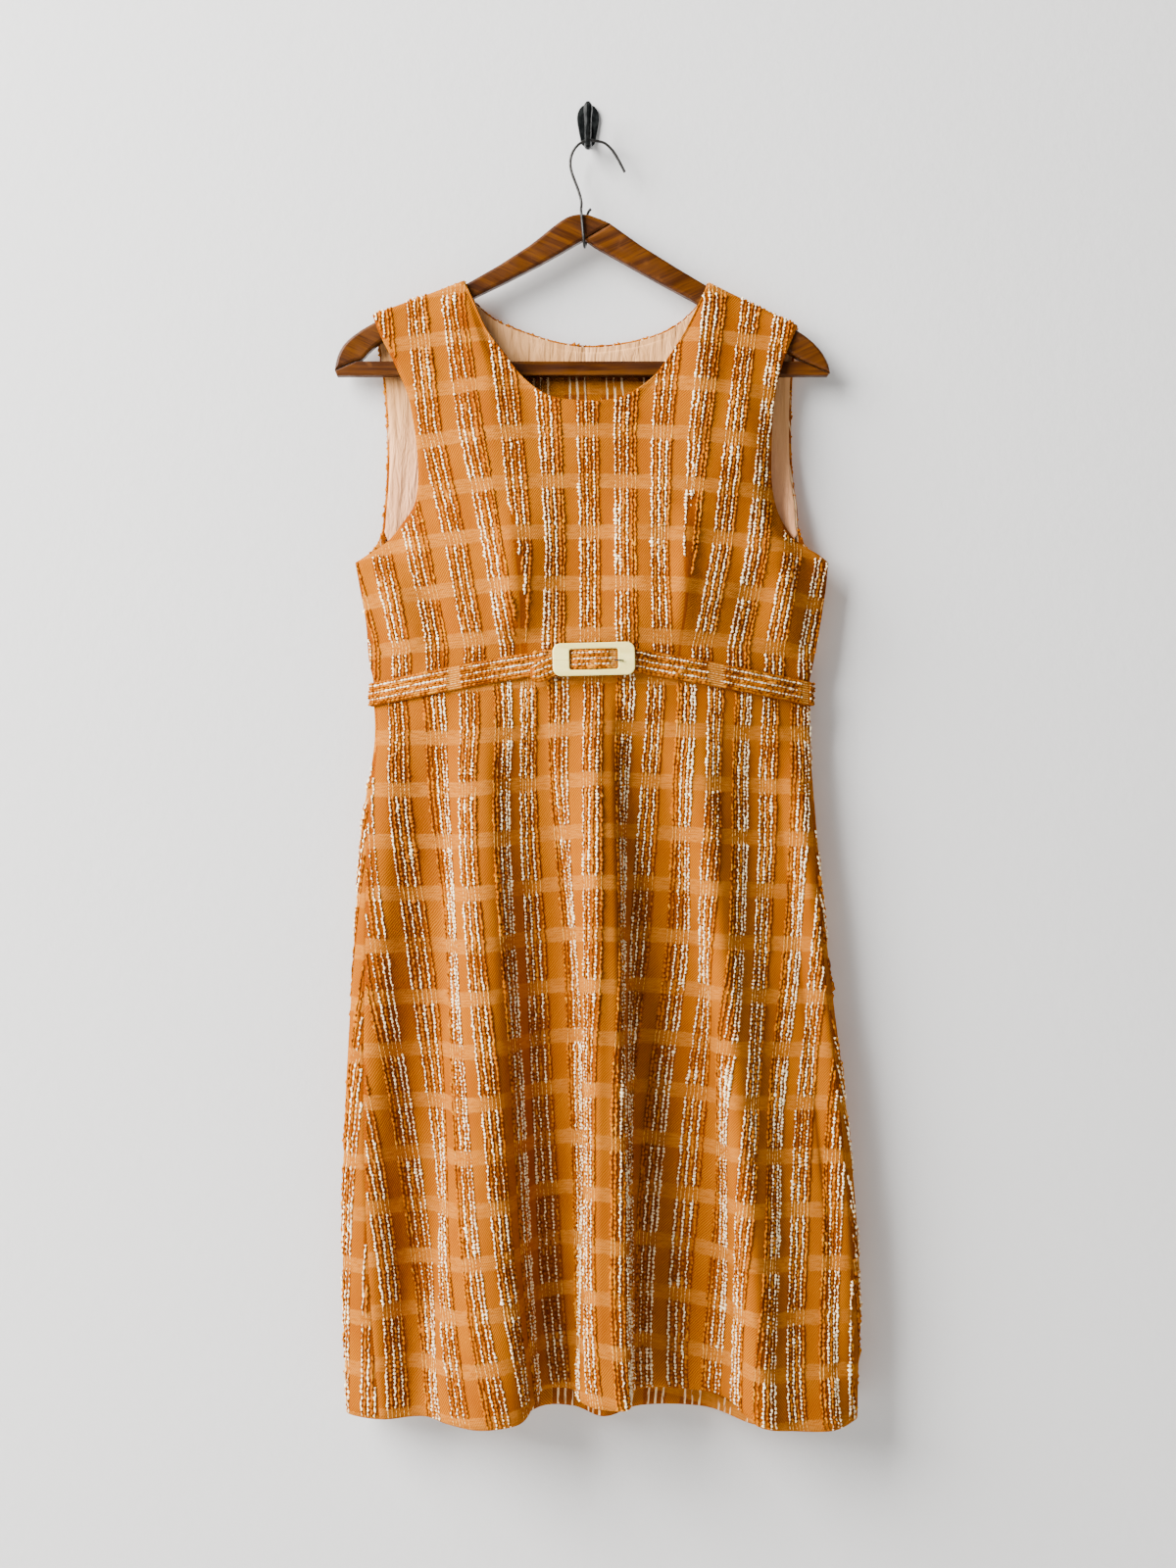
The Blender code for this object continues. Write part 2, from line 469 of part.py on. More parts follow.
def material(name, colour, roughness, metallic=0.0):
    made = bpy.data.materials.new(name)
    made.use_nodes = True
    shader = made.node_tree.nodes["Principled BSDF"]
    shader.inputs["Base Color"].default_value = (*colour, 1.0)
    shader.inputs["Roughness"].default_value = roughness
    shader.inputs["Metallic"].default_value = metallic
    made.diffuse_color = (*colour, 1.0)
    return made


def place(name, mesh, collection, finish):
    """Put a mesh in the scene as the part's object of this name."""
    obj = bpy.data.objects.new(name, mesh)
    collection.objects.link(obj)
    mesh.materials.clear()
    mesh.materials.append(finish)
    mesh.shade_smooth()
    mesh.set_sharp_from_angle(angle=math.radians(40))
    return obj


def wall(name, grid, normals, thickness, collection, finish):
    """A closed wall of the given thickness whose middle surface is the grid."""
    rows, cols = grid.shape[:2]
    mesh = bpy.data.meshes.new(name)
    bm = bmesh.new()
    skins = []
    for side in (0.5, -0.5):
        skin = (grid + normals * thickness * side) * MM
        skins.append([[bm.verts.new(skin[r, c]) for c in range(cols)] for r in range(rows)])
    outer, inner = skins
    for r in range(rows - 1):
        for c in range(cols - 1):
            for corners in (((r, c), (r, c + 1), (r + 1, c + 1)), ((r, c), (r + 1, c + 1), (r + 1, c))):
                bm.faces.new([outer[row][col] for row, col in corners])
                bm.faces.new([inner[row][col] for row, col in reversed(corners)])
    for c in range(cols - 1):
        bm.faces.new((outer[0][c], inner[0][c], inner[0][c + 1], outer[0][c + 1]))
        bm.faces.new((outer[-1][c + 1], inner[-1][c + 1], inner[-1][c], outer[-1][c]))
    for r in range(rows - 1):
        bm.faces.new((outer[r + 1][0], inner[r + 1][0], inner[r][0], outer[r][0]))
        bm.faces.new((outer[r][-1], inner[r][-1], inner[r + 1][-1], outer[r + 1][-1]))
    bmesh.ops.triangulate(bm, faces=bm.faces[:])
    bm.to_mesh(mesh)
    bm.free()
    return place(name, mesh, collection, finish)


def curve_mesh(name, curve, turn=None):
    """The closed mesh of a curve, with its caps welded on."""
    guide = bpy.data.objects.new(name, curve)
    bpy.context.scene.collection.objects.link(guide)
    graph = bpy.context.evaluated_depsgraph_get()
    mesh = bpy.data.meshes.new_from_object(guide.evaluated_get(graph))
    bpy.data.objects.remove(guide)
    bm = bmesh.new()
    bm.from_mesh(mesh)
    bmesh.ops.remove_doubles(bm, verts=bm.verts, dist=1e-6)
    if turn:
        bmesh.ops.transform(bm, matrix=turn, verts=bm.verts)
    bmesh.ops.recalc_face_normals(bm, faces=bm.faces)
    bm.to_mesh(mesh)
    bm.free()
    mesh.name = name
    return mesh


def flat_piece(name, outlines, thickness, middle_y, edge):
    """A flat board with the outlines given as (x, z), its faces square to Y, its edges rounded."""
    curve = bpy.data.curves.new(name, "CURVE")
    curve.dimensions = "2D"
    curve.fill_mode = "BOTH"
    curve.extrude = (thickness / 2 - edge) * MM
    curve.bevel_depth = edge * MM
    curve.offset = -edge * MM
    curve.bevel_resolution = 1
    for outline in outlines:
        spline = curve.splines.new("POLY")
        spline.points.add(len(outline) - 1)
        for point, (x, z) in zip(spline.points, outline):
            point.co = (x * MM, z * MM, 0.0, 1.0)
        spline.use_cyclic_u = True
    stand = Matrix.Translation((0, middle_y * MM, 0)) @ Matrix.Rotation(math.pi / 2, 4, "X")
    return curve_mesh(name, curve, stand)


def rod_mesh(name, points, radii, resolution=2):
    """A round rod through the points, in millimetres, with a radius at each."""
    curve = bpy.data.curves.new(name, "CURVE")
    curve.dimensions = "3D"
    curve.bevel_depth = MM
    curve.bevel_resolution = resolution
    curve.use_fill_caps = True
    spline = curve.splines.new("POLY")
    spline.points.add(len(points) - 1)
    for node, point, radius in zip(spline.points, points, radii):
        node.co = (*(Vector(point) * MM), 1.0)
        node.radius = radius
    return curve_mesh(name, curve)


def rounded_rectangle(width, height, corner, steps, centre, tilt):
    """The outline of a rectangle with round corners, turned by tilt degrees."""
    points = []
    for quarter, (sx, sz) in enumerate(((1, 1), (-1, 1), (-1, -1), (1, -1))):
        for i in range(steps + 1):
            angle = math.pi / 2 * (quarter + i / steps)
            x = sx * (width / 2 - corner) + corner * math.cos(angle)
            z = sz * (height / 2 - corner) + corner * math.sin(angle)
            points.append((x, z))
    c, s = math.cos(math.radians(tilt)), math.sin(math.radians(tilt))
    return [(centre[0] + c * x - s * z, centre[1] + s * x + c * z) for x, z in points]


# ---------------------------------------------------------------------------- the pieces

def make_skirt(parts, cloth):
    grid = skirt_grid()
    normals = outward(grid)
    seam = normals[:, 0] + normals[:, -1]
    normals[:, 0] = normals[:, -1] = seam / np.linalg.norm(seam, axis=1, keepdims=True)
    flat_edge(normals, -1)
    grid[-1, :, 2] -= WAIST_GAP / 2
    right_seam = (len(FRONT_FOLDS) - 1) * SPAN_STEPS
    centre_back = (len(FRONT_FOLDS) + CENTRE_BACK) * SPAN_STEPS
    for name, first, last in (("front_skirt", 0, right_seam),
                              ("back_skirt_right", right_seam, centre_back),
                              ("back_skirt_left", centre_back, grid.shape[1] - 1)):
        panel = grid[:, first:last + 1].copy()
        draw_in(panel, normals[:, first:last + 1])
        wall(name, panel, normals[:, first:last + 1], CLOTH, parts, cloth)
    return grid[-1, :right_seam + 1], np.vstack([grid[-1, right_seam:]])


def flat_edge(normals, row):
    """Level the normals of an edge row, so that two panels meet there square."""
    normals[row, :, 2] = 0.0
    normals[row] /= np.linalg.norm(normals[row], axis=1, keepdims=True)


def draw_in(panel, normals):
    """Draw a panel's two side edges in by half the gap between pieces, measured square to them."""
    for edge, inside in ((0, 1), (-1, -2)):
        step = panel[:, inside] - panel[:, edge]
        step /= np.linalg.norm(step, axis=1, keepdims=True)
        lean = np.sum(step * normals[:, edge], axis=1, keepdims=True)
        panel[:, edge] += step * (GAP / 2) / np.sqrt(np.maximum(1 - lean ** 2, 0.1))


def make_bodice(parts, cloth, linen, front_waist, back_waist):
    front = Bodice(FRONT_LEFT_ARMHOLE, FRONT_RIGHT_ARMHOLE, FRONT_NECKLINE, FRONT_DEPTHS,
                   front_waist, WAIST_RISE, FRONT_NECK_COLUMNS, True)
    back = Bodice(BACK_LEFT_ARMHOLE, BACK_RIGHT_ARMHOLE, BACK_NECKLINE, BACK_DEPTHS,
                  back_waist, WAIST_RISE_BACK, BACK_NECK_COLUMNS, False)
    front_grid = front.grid(front.columns, BODICE_ROWS)
    back_grid = back.grid(back.columns[::-1], BODICE_ROWS)
    front_normals, back_normals = outward(front_grid), outward(back_grid)

    below = [i for i, row in enumerate(BODICE_ROWS) if row <= 1]
    for front_column, back_column in ((0, -1), (-1, 0)):
        shared = front_normals[below, front_column] + back_normals[below, back_column]
        shared /= np.linalg.norm(shared, axis=1, keepdims=True)
        front_normals[below, front_column] = back_normals[below, back_column] = shared
        edge = (front_grid[below, front_column] + back_grid[below, back_column]) / 2
        front_grid[below, front_column] = back_grid[below, back_column] = edge
    for normals in (front_normals, back_normals):
        flat_edge(normals, 0)
        square_shoulders(normals)
    for grid in (front_grid, back_grid):
        grid[0, :, 2] += WAIST_GAP / 2
        mid = grid.shape[1] // 2
        for columns in (slice(0, STRAP_COLUMNS + 1), slice(-STRAP_COLUMNS - 1, None)):
            towards = np.sign(grid[-2, columns, 1] - grid[-1, columns, 1])
            grid[-1, columns, 1] += towards * GAP / 2
    draw_in(front_grid, front_normals)
    wall("front_bodice", front_grid, front_normals, CLOTH, parts, cloth)
    for name, columns in (("back_bodice_right", slice(0, mid + 1)),
                          ("back_bodice_left", slice(mid, None))):
        panel = back_grid[:, columns].copy()
        draw_in(panel, back_normals[:, columns])
        wall(name, panel, back_normals[:, columns], CLOTH, parts, cloth)
    for name, columns, edge in (("back_facing_right", slice(0, mid + 1), 0),
                                ("back_facing_left", slice(mid, None), mid)):
        make_facing(name, back_grid[:, columns], back_normals[:, columns], edge, parts, linen)


def square_shoulders(normals):
    """Turn the normals along the shoulder seams straight up from the seam's line."""
    for columns in (slice(0, STRAP_COLUMNS + 1), slice(-STRAP_COLUMNS - 1, None)):
        line = normals[-1, columns]
        line[:, 1] = 0.0
        line /= np.linalg.norm(line, axis=1, keepdims=True)


def make_facing(name, grid, normals, edge, parts, linen):
    """Half of the facing that lines the back's neckline and armhole, from the back's own points.

    The grid is that half of the back, and edge the number of its column at the armhole.
    """
    both = np.dstack([grid, normals])
    step = both[:, edge + 1 if edge == 0 else edge - 1] - both[:, edge]
    inset = np.array([FACING_SIDE_INSET if row < 1.1 else FACING_INSET for row in BODICE_ROWS])
    both[:, edge] += step * (inset / np.linalg.norm(step[:, :3], axis=1))[:, None]
    columns = [facing_column(both[:, c]) for c in range(both.shape[1])]
    line = np.array(columns).transpose(1, 0, 2)
    middle, out, loose = line[..., :3], line[..., 3:6], line[..., 6:]
    out = out / np.linalg.norm(out, axis=2, keepdims=True)
    middle = middle - out * (CLOTH / 2 + FACING_EASE + FACING_LOOSE * loose + LINEN / 2)
    draw_in(middle, out)
    wall(name, middle, out, LINEN, parts, linen)


def facing_column(both):
    """Points and normals up one column of the back, between the facing's lower and upper edges.

    The last number is 1 at the free lower edge and fades to 0 above it.
    """
    low_x, low_z = zip(*FACING_LOW)
    heights = np.linspace(0.2, FACING_ROWS[-1], 2001)
    track = np.column_stack([np.interp(heights, BODICE_ROWS, v) for v in both.T])
    above = track[:, 2] > np.interp(np.abs(track[:, 0]), low_x, low_z)
    below = track[:, 2] < [shoulder_z(x) - FACING_BELOW_SEAM for x in track[:, 0]]
    covered = heights[above & below]
    crowd = FACING_CROWD * np.arange(len(FACING_ROWS))
    heights = np.clip(FACING_ROWS, covered[0] + crowd, covered[-1] - crowd[::-1])
    loose = 1 - ease((heights - heights[0]) / FACING_FREE)
    return np.column_stack([np.interp(heights, BODICE_ROWS, v) for v in both.T] + [loose])


def make_belt(parts, cloth):
    line = skirt_line(0.0, 4)
    side = sideways(np.roll(line, -1, axis=0) - np.roll(line, 1, axis=0))
    ring = line + side * (CLOTH / 2 + BELT_EASE + BELT / 2)
    front = (len(FRONT_FOLDS) - 1) * 4 + 1
    number = np.arange(len(line))
    ends = [number[:front][ring[:front, 0] < BELT_SIDE_LEFT_X][-1],
            number[:front][ring[:front, 0] < BELT_LEFT_END_X][-1],
            number[:front][ring[:front, 0] > FREE_END[0].x + 5][0],
            number[:front][ring[:front, 0] > BELT_SIDE_RIGHT_X][0]]
    free = through([(strap.x, strap.y, strap.z, strap.width) for strap in FREE_END], 3)[::-1]
    free_side = sideways(np.gradient(free[:, :3], axis=0))
    left, right = number[ends[0]:ends[1] + 1], number[ends[2]:ends[3] + 1]
    behind = np.concatenate([number[ends[3]:], number[:ends[0] + 1]])
    full = [BELT_WIDTH] * len(line)
    belt_wall("belt_right", np.vstack([free[:, :3], ring[right]]),
              np.vstack([free_side, side[right]]), [*free[:, 3], *full[:len(right)]], parts, cloth)
    belt_wall("belt_left", ring[left], side[left], full[:len(left)], parts, cloth)
    belt_wall("belt_back", ring[behind], side[behind], full[:len(behind)], parts, cloth)


def sideways(along):
    """Level unit vectors square to the directions of a line that goes round from the left."""
    side = np.column_stack([along[:, 1], -along[:, 0], np.zeros(len(along))])
    return side / np.linalg.norm(side, axis=1, keepdims=True)


def belt_wall(name, run, side, widths, parts, cloth):
    half = np.zeros((len(run), 3))
    half[:, 2] = np.array(widths) / 2
    grid, normals = np.array([run - half, run + half]), np.array([side, side])
    draw_in(grid, normals)
    wall(name, grid, normals, BELT, parts, cloth)


def make_buckle(parts, ivory, steel):
    centre = (BUCKLE_X, BUCKLE_Z)
    frame = rounded_rectangle(BUCKLE_W, BUCKLE_H, BUCKLE_CORNER, 6, centre, BUCKLE_TILT)
    hole = rounded_rectangle(BUCKLE_HOLE_W, BUCKLE_HOLE_H, BUCKLE_HOLE_CORNER, 3, centre,
                             BUCKLE_TILT)
    middle = BUCKLE_BACK - BUCKLE_THICK / 2
    place("belt_buckle", flat_piece("belt_buckle", [frame, hole[::-1]], BUCKLE_THICK, middle,
                                    BUCKLE_EDGE), parts, ivory)
    place("buckle_prong", rod_mesh("buckle_prong", PRONG, [PRONG_R] * len(PRONG), 1), parts, steel)


def make_hanger(parts, wood, steel):
    left = ([tuple(p) for p in through(LEFT_ARM_TOP, 2)]
            + [tuple(p) for p in through(LEFT_ARM_UNDER, 2)])
    across = Vector((JOINT_HIGH[1] - JOINT_LOW[1], JOINT_LOW[0] - JOINT_HIGH[0])).normalized()
    step = across * GAP
    right = ([(JOINT_HIGH[0] + step.x, JOINT_HIGH[1] + step.y)]
             + [tuple(p) for p in through(RIGHT_ARM_TOP, 2)]
             + [tuple(p) for p in through(RIGHT_ARM_UNDER, 2)]
             + [(JOINT_LOW[0] + step.x, JOINT_LOW[1] + step.y)])
    for name, outline in (("hanger_arm_left", left), ("hanger_arm_right", right)):
        place(name, flat_piece(name, [outline], ARM_THICK, HANGER_Y, WOOD_EDGE), parts, wood)
    bar = BAR_LEFT_JOINT + BAR_RIGHT_JOINT + [(211.2, BAR_LOW), (-221.4, BAR_LOW)]
    place("hanger_bar", flat_piece("hanger_bar", [bar], BAR_THICK, HANGER_Y, 1.2), parts, wood)
    wire = through(WIRE, 2)
    place("hanger_wire", rod_mesh("hanger_wire", wire, [WIRE_R] * len(wire)), parts, steel)


def make_wall_hook(parts, enamel):
    plate = flat_piece("wall_hook_plate", [[tuple(p) for p in through(PLATE, 2, closed=True)]],
                       PLATE_THICK, -PLATE_THICK / 2, 0.6)
    bends = through([(0.0, bend.y, bend.z, bend.radius) for bend in HOOK_ARM], 3)
    arm = rod_mesh("wall_hook_arm", bends[:, :3], bends[:, 3], 3)
    body = place("wall_hook", plate, parts, enamel)
    cutters = bpy.data.collections.new("Cutters")
    bpy.context.scene.collection.children.link(cutters)
    joined = place("hook_arm_form", arm, cutters, enamel)
    joined.hide_render = True
    joined.display_type = "WIRE"
    union = body.modifiers.new("arm", "BOOLEAN")
    union.operation = "UNION"
    union.object = joined


def main():
    for obj in list(bpy.data.objects):
        bpy.data.objects.remove(obj)
    parts = bpy.data.collections.new("Shift dress")
    bpy.context.scene.collection.children.link(parts)
    cloth = material("Boucle cloth", (0.68, 0.25, 0.03), 0.85)
    linen = material("Facing cloth", (0.72, 0.47, 0.32), 0.8)
    ivory = material("Ivory plastic", (0.76, 0.73, 0.55), 0.35)
    steel = material("Dark steel wire", (0.05, 0.05, 0.05), 0.35, 0.9)
    wood = material("Varnished wood", (0.16, 0.06, 0.015), 0.35)
    enamel = material("Black enamel", (0.01, 0.012, 0.012), 0.2)
    front_waist, back_waist = make_skirt(parts, cloth)
    make_bodice(parts, cloth, linen, front_waist, back_waist)
    make_belt(parts, cloth)
    make_buckle(parts, ivory, steel)
    make_hanger(parts, wood, steel)
    make_wall_hook(parts, enamel)


main()
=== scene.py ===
"""A sleeveless shift dress with a narrow buckled belt, on a wooden hanger on a small wall hook.

Every cloth piece is drawn here on the same named sizes as its solid, but finer: the panels are
thin shells with their creases laid in, and the thick boucle yarns are threads that run
along the cloth's own warp.  Sizes are in millimetres until a mesh is made.  The wall is the plane
y = 0, the dress hangs in front of it towards -Y, X runs to the right and Z up.
"""
import json
import math
from collections import namedtuple

import bpy
import numpy as np
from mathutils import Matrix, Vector

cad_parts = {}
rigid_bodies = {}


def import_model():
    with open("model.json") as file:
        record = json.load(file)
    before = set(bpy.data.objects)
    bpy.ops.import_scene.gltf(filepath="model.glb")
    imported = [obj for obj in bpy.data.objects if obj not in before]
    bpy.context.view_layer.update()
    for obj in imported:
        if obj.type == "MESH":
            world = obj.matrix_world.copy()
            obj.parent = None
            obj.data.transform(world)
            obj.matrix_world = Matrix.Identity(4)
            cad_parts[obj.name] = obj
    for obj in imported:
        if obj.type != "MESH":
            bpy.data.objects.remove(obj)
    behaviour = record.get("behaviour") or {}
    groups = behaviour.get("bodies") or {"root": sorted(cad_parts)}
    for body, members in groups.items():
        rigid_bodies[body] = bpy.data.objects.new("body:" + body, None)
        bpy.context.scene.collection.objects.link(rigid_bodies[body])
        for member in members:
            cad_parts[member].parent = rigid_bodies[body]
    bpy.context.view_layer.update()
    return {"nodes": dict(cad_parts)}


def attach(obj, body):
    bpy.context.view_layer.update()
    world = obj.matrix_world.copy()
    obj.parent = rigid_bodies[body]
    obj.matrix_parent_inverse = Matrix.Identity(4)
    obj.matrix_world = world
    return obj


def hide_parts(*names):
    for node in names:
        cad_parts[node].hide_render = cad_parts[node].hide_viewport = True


MM = 0.001

# ---------------------------------------------------------------------------- named sizes
# ---- thicknesses and clearances
CLOTH = 1.8                 # boucle cloth of the dress
LINEN = 1.0                 # facing cloth
BELT = 2.4                  # belt, doubled and stiffened
BELT_WIDTH = 19.0
GAP = 0.3                   # between two pieces that meet

# ---- the hanger and where the cloth hangs on it
HANGER_Y = -17.0            # middle plane of the hanger
WRAP = 7.0                  # how far below its seam a shoulder is still turning over the arm
WRAP_POWER = 2.6            # 2 would be an ellipse; more is squarer
FRONT_FALL = -24.6          # depth at which the front hangs just below the shoulders
BACK_FALL = -7.8

# ---- levels
UNDERARM_Z = -391.0
WAIST_Z = -507.0            # the waist seam at the sides
WAIST_RISE = 29.5           # how much higher the seam is at the centre of the front
WAIST_RISE_BACK = 9.0
WAIST_CENTRE_X = 5.0
WAIST_GAP = 0.4
WAIST_FLAT = 40.0           # how far from its centre the seam stays nearly level
HEM_Z = -1138.0             # only sets how deep a level of OUTLINE lies
OPENING = 0.04              # share of the skirt over which the folds start, flat under the belt

# The skirt hangs in folds.  Each row is a crest, a hollow or a side of one, with its place at the
# waist seam, half way down and at the hem, and the height of the hem there.
Fold = namedtuple("Fold", "name waist_x waist_y knee_x knee_y hem_x hem_y hem_z")
FRONT_FOLDS = [
    Fold("left side seam", -187.8, -25.5, -194.0, -44.0, -181.5, -47.0, -1137.0),
    Fold("left hollow", -139.0, -43.0, -147.0, -36.0, -143.0, -42.0, -1136.0),
    Fold("left ridge, near side", -116.0, -49.0, -127.0, -45.0, -121.0, -65.0, -1135.5),
    Fold("left ridge", -101.5, -52.5, -97.0, -66.0, -91.0, -84.0, -1135.0),
    Fold("left ridge, far side", -81.5, -55.5, -74.5, -62.0, -58.5, -79.0, -1131.0),
    Fold("left fall", -68.5, -56.5, -58.7, -47.0, -46.5, -50.0, -1124.0),
    Fold("left valley", -53.0, -57.5, -44.5, -33.0, -37.8, -27.0, -1117.0),
    Fold("left valley, far side", -25.6, -60.0, -23.0, -39.0, -17.2, -30.0, -1116.0),
    Fold("centre rise", -5.0, -61.5, -6.0, -61.0, -7.6, -62.0, -1117.0),
    Fold("centre ridge", 10.0, -62.5, 10.2, -75.0, 10.1, -80.0, -1118.0),
    Fold("centre ridge, far side", 19.6, -62.0, 26.0, -76.0, 32.0, -85.0, -1118.0),
    Fold("centre fall", 25.6, -61.5, 31.5, -56.0, 37.5, -58.0, -1117.5),
    Fold("right valley", 36.0, -60.7, 40.5, -34.0, 45.6, -27.0, -1116.0),
    Fold("right valley, far side", 59.5, -59.0, 72.0, -35.0, 84.5, -28.0, -1116.0),
    Fold("right rise", 85.0, -56.0, 104.4, -46.0, 117.7, -45.0, -1119.0),
    Fold("right ridge", 107.5, -52.5, 126.5, -63.0, 148.0, -83.0, -1133.0),
    Fold("right hollow", 145.5, -43.0, 164.5, -50.0, 178.5, -70.0, -1140.0),
    Fold("right side ridge", 175.0, -33.0, 195.0, -54.0, 211.0, -66.0, -1141.0),
    Fold("right side seam", 193.8, -25.5, 213.9, -42.0, 228.3, -47.0, -1140.0),
]
BACK_FOLDS = [
    Fold("right edge", 194.5, -21.0, 219.8, -29.0, 235.0, -33.0, -1139.0),
    Fold("right turn", 184.0, -14.5, 208.0, -16.0, 224.0, -18.0, -1138.0),
    Fold("right back", 160.0, -11.5, 180.0, -11.0, 196.0, -10.0, -1137.0),
    Fold("behind the right ridge", 125.0, -12.5, 135.0, -27.0, 152.0, -48.0, -1142.0),
    Fold("right of centre", 92.0, -10.5, 95.0, -11.0, 104.0, -10.0, -1137.0),
    Fold("near the centre, right", 50.0, -10.0, 48.0, -10.5, 46.0, -9.5, -1136.0),
    Fold("behind the centre ridge", 26.0, -10.5, 18.0, -21.0, 14.0, -35.0, -1138.0),
    Fold("centre back seam", 3.0, -10.0, -6.0, -12.0, -12.0, -12.0, -1136.0),
    Fold("near the centre, left", -30.0, -10.0, -34.0, -10.0, -38.0, -9.0, -1136.0),
    Fold("behind the left ridge", -85.0, -12.5, -84.0, -28.0, -82.0, -52.0, -1144.0),
    Fold("left back", -125.0, -11.0, -130.0, -10.5, -128.0, -11.0, -1138.0),
    Fold("left back hollow", -150.0, -12.5, -162.0, -19.0, -160.0, -24.0, -1138.0),
    Fold("left turn", -177.0, -14.5, -196.0, -14.5, -197.0, -14.0, -1137.0),
    Fold("left edge", -188.5, -21.0, -209.5, -27.0, -211.5, -28.0, -1137.0),
]
CENTRE_BACK = 7             # the row of BACK_FOLDS that is the centre back seam

# Half widths of the skirt, seen from the front
Level = namedtuple("Level", "name z left right")
OUTLINE = [
    Level("waist", -507.0, -188.5, 194.5),
    Level("high hip", -535.0, -186.8, 194.2),
    Level("hip", -617.0, -197.4, 199.5),
    Level("thigh", -737.0, -205.0, 210.2),
    Level("knee", -865.0, -212.3, 225.0),
    Level("calf", -1000.0, -214.6, 236.4),
    Level("hem", -1138.0, -211.0, 235.0),
]

# The bodice's edges, each going up from the waist to the shoulder
Edge = namedtuple("Edge", "z x")


def edges(*places):
    """The rows of an edge's table, from pairs of height and place across."""
    return [Edge(*place) for place in places]


LEFT_SIDE = edges((-507, -187.8), (-496, -188.0), (-480, -191.5), (-440, -195.5), (-413, -200.5),
                  (-391, -204.5))
RIGHT_SIDE = edges((-507, 193.8), (-496, 194.0), (-482, 197.0), (-447, 203.8), (-413, 209.0),
                   (-391, 211.3))
FRONT_LEFT_ARMHOLE = edges((-391, -204.5), (-381, -188.0), (-373.4, -177.2), (-356.6, -162.8),
                           (-343, -153.0), (-328, -149.2), (-305, -148.6), (-268, -152.6),
                           (-245, -157.4), (-215, -170.2), (-190.5, -182.5), (-171.7, -189.6))
FRONT_RIGHT_ARMHOLE = edges((-391, 211.3), (-384, 202.7), (-375.6, 187.5), (-361, 173.8),
                            (-349, 167.1), (-336, 162.9), (-317, 160.4), (-291, 160.4),
                            (-268, 161.4), (-245, 163.8), (-215, 171.0), (-181.2, 184.4))
BACK_LEFT_ARMHOLE = edges((-391, -204.5), (-381, -190.5), (-367.5, -182.5), (-346.7, -179.8),
                          (-316, -177.8), (-287, -177.5), (-257, -178.9), (-226.8, -181.5),
                          (-200, -185.5), (-171.7, -189.6))
BACK_RIGHT_ARMHOLE = edges((-391, 211.3), (-381, 195.5), (-367.5, 187.1), (-340.6, 184.1),
                           (-316.8, 181.1), (-287, 179.8), (-257, 180.0), (-226.8, 181.1),
                           (-200, 183.0), (-181.2, 184.4))

# Shoulder seams and necklines, from the left shoulder's end to the right one's
SHOULDER_LEFT = Edge(-171.7, -189.6)
NECK_LEFT = Edge(-142.3, -109.1)
NECK_RIGHT = Edge(-143.9, 106.5)
SHOULDER_RIGHT = Edge(-181.2, 184.4)
FRONT_NECKLINE = [NECK_LEFT, *edges((-160.7, -101.0), (-188.7, -88.2), (-208, -73.8),
                                    (-228, -59.0), (-241.5, -43.6), (-249, -28.2), (-252, 0.0),
                                    (-250, 23.9), (-242.2, 41.0), (-229.4, 57.3), (-215, 68.5),
                                    (-195.0, 81.5), (-170.2, 94.5)), NECK_RIGHT]
BACK_NECKLINE = [NECK_LEFT, *edges((-156.8, -100.9), (-172.9, -82.6), (-184.7, -54.8),
                                   (-193.0, -28.0), (-196.8, 2.6), (-193.2, 36.0), (-184.6, 66.0),
                                   (-173.5, 84.3), (-159.0, 98.0)), NECK_RIGHT]

# Depths of the bodice.  A row is a height: 0 the waist seam, 1 the underarm, 2 just below the
# shoulder seam or the neckline.  A column is a place across, from 0 at the left edge to 1.
ACROSS = (0.0, 0.12, 0.31, 0.5, 0.69, 0.88, 1.0)
Depths = namedtuple("Depths", "height y")
FRONT_DEPTHS = [
    Depths(0.0, (-25.5, -44.0, -57.0, -62.5, -57.0, -44.0, -25.5)),
    Depths(0.35, (-24.5, -42.0, -60.0, -59.0, -60.0, -42.0, -24.5)),
    Depths(0.7, (-24.0, -42.0, -62.0, -57.0, -62.0, -42.0, -24.0)),
    Depths(1.0, (-23.5, -42.0, -60.0, -55.0, -60.0, -43.0, -23.5)),
    Depths(1.4, (-33.0, -44.0, -53.0, -51.0, -53.0, -45.0, -33.0)),
    Depths(1.75, (-29.0, -34.0, -43.0, -47.0, -43.0, -35.0, -29.0)),
    Depths(2.0, (FRONT_FALL, FRONT_FALL, -35.0, -44.0, -35.0, FRONT_FALL, FRONT_FALL)),
]
BACK_DEPTHS = [
    Depths(0.0, (-25.5, -13.0, -10.5, -10.5, -10.5, -13.0, -25.5)),
    Depths(0.35, (-24.5, -13.0, -10.0, -11.0, -10.0, -13.0, -24.5)),
    Depths(0.7, (-24.0, -13.5, -9.5, -11.5, -9.5, -13.5, -24.0)),
    Depths(1.0, (-23.5, -13.5, -9.5, -11.5, -9.5, -13.5, -23.5)),
    Depths(1.5, (-11.0, -9.6, -8.6, -9.6, -8.6, -9.6, -11.0)),
    Depths(1.75, (BACK_FALL,) * 7),
    Depths(2.0, (BACK_FALL,) * 7),
]

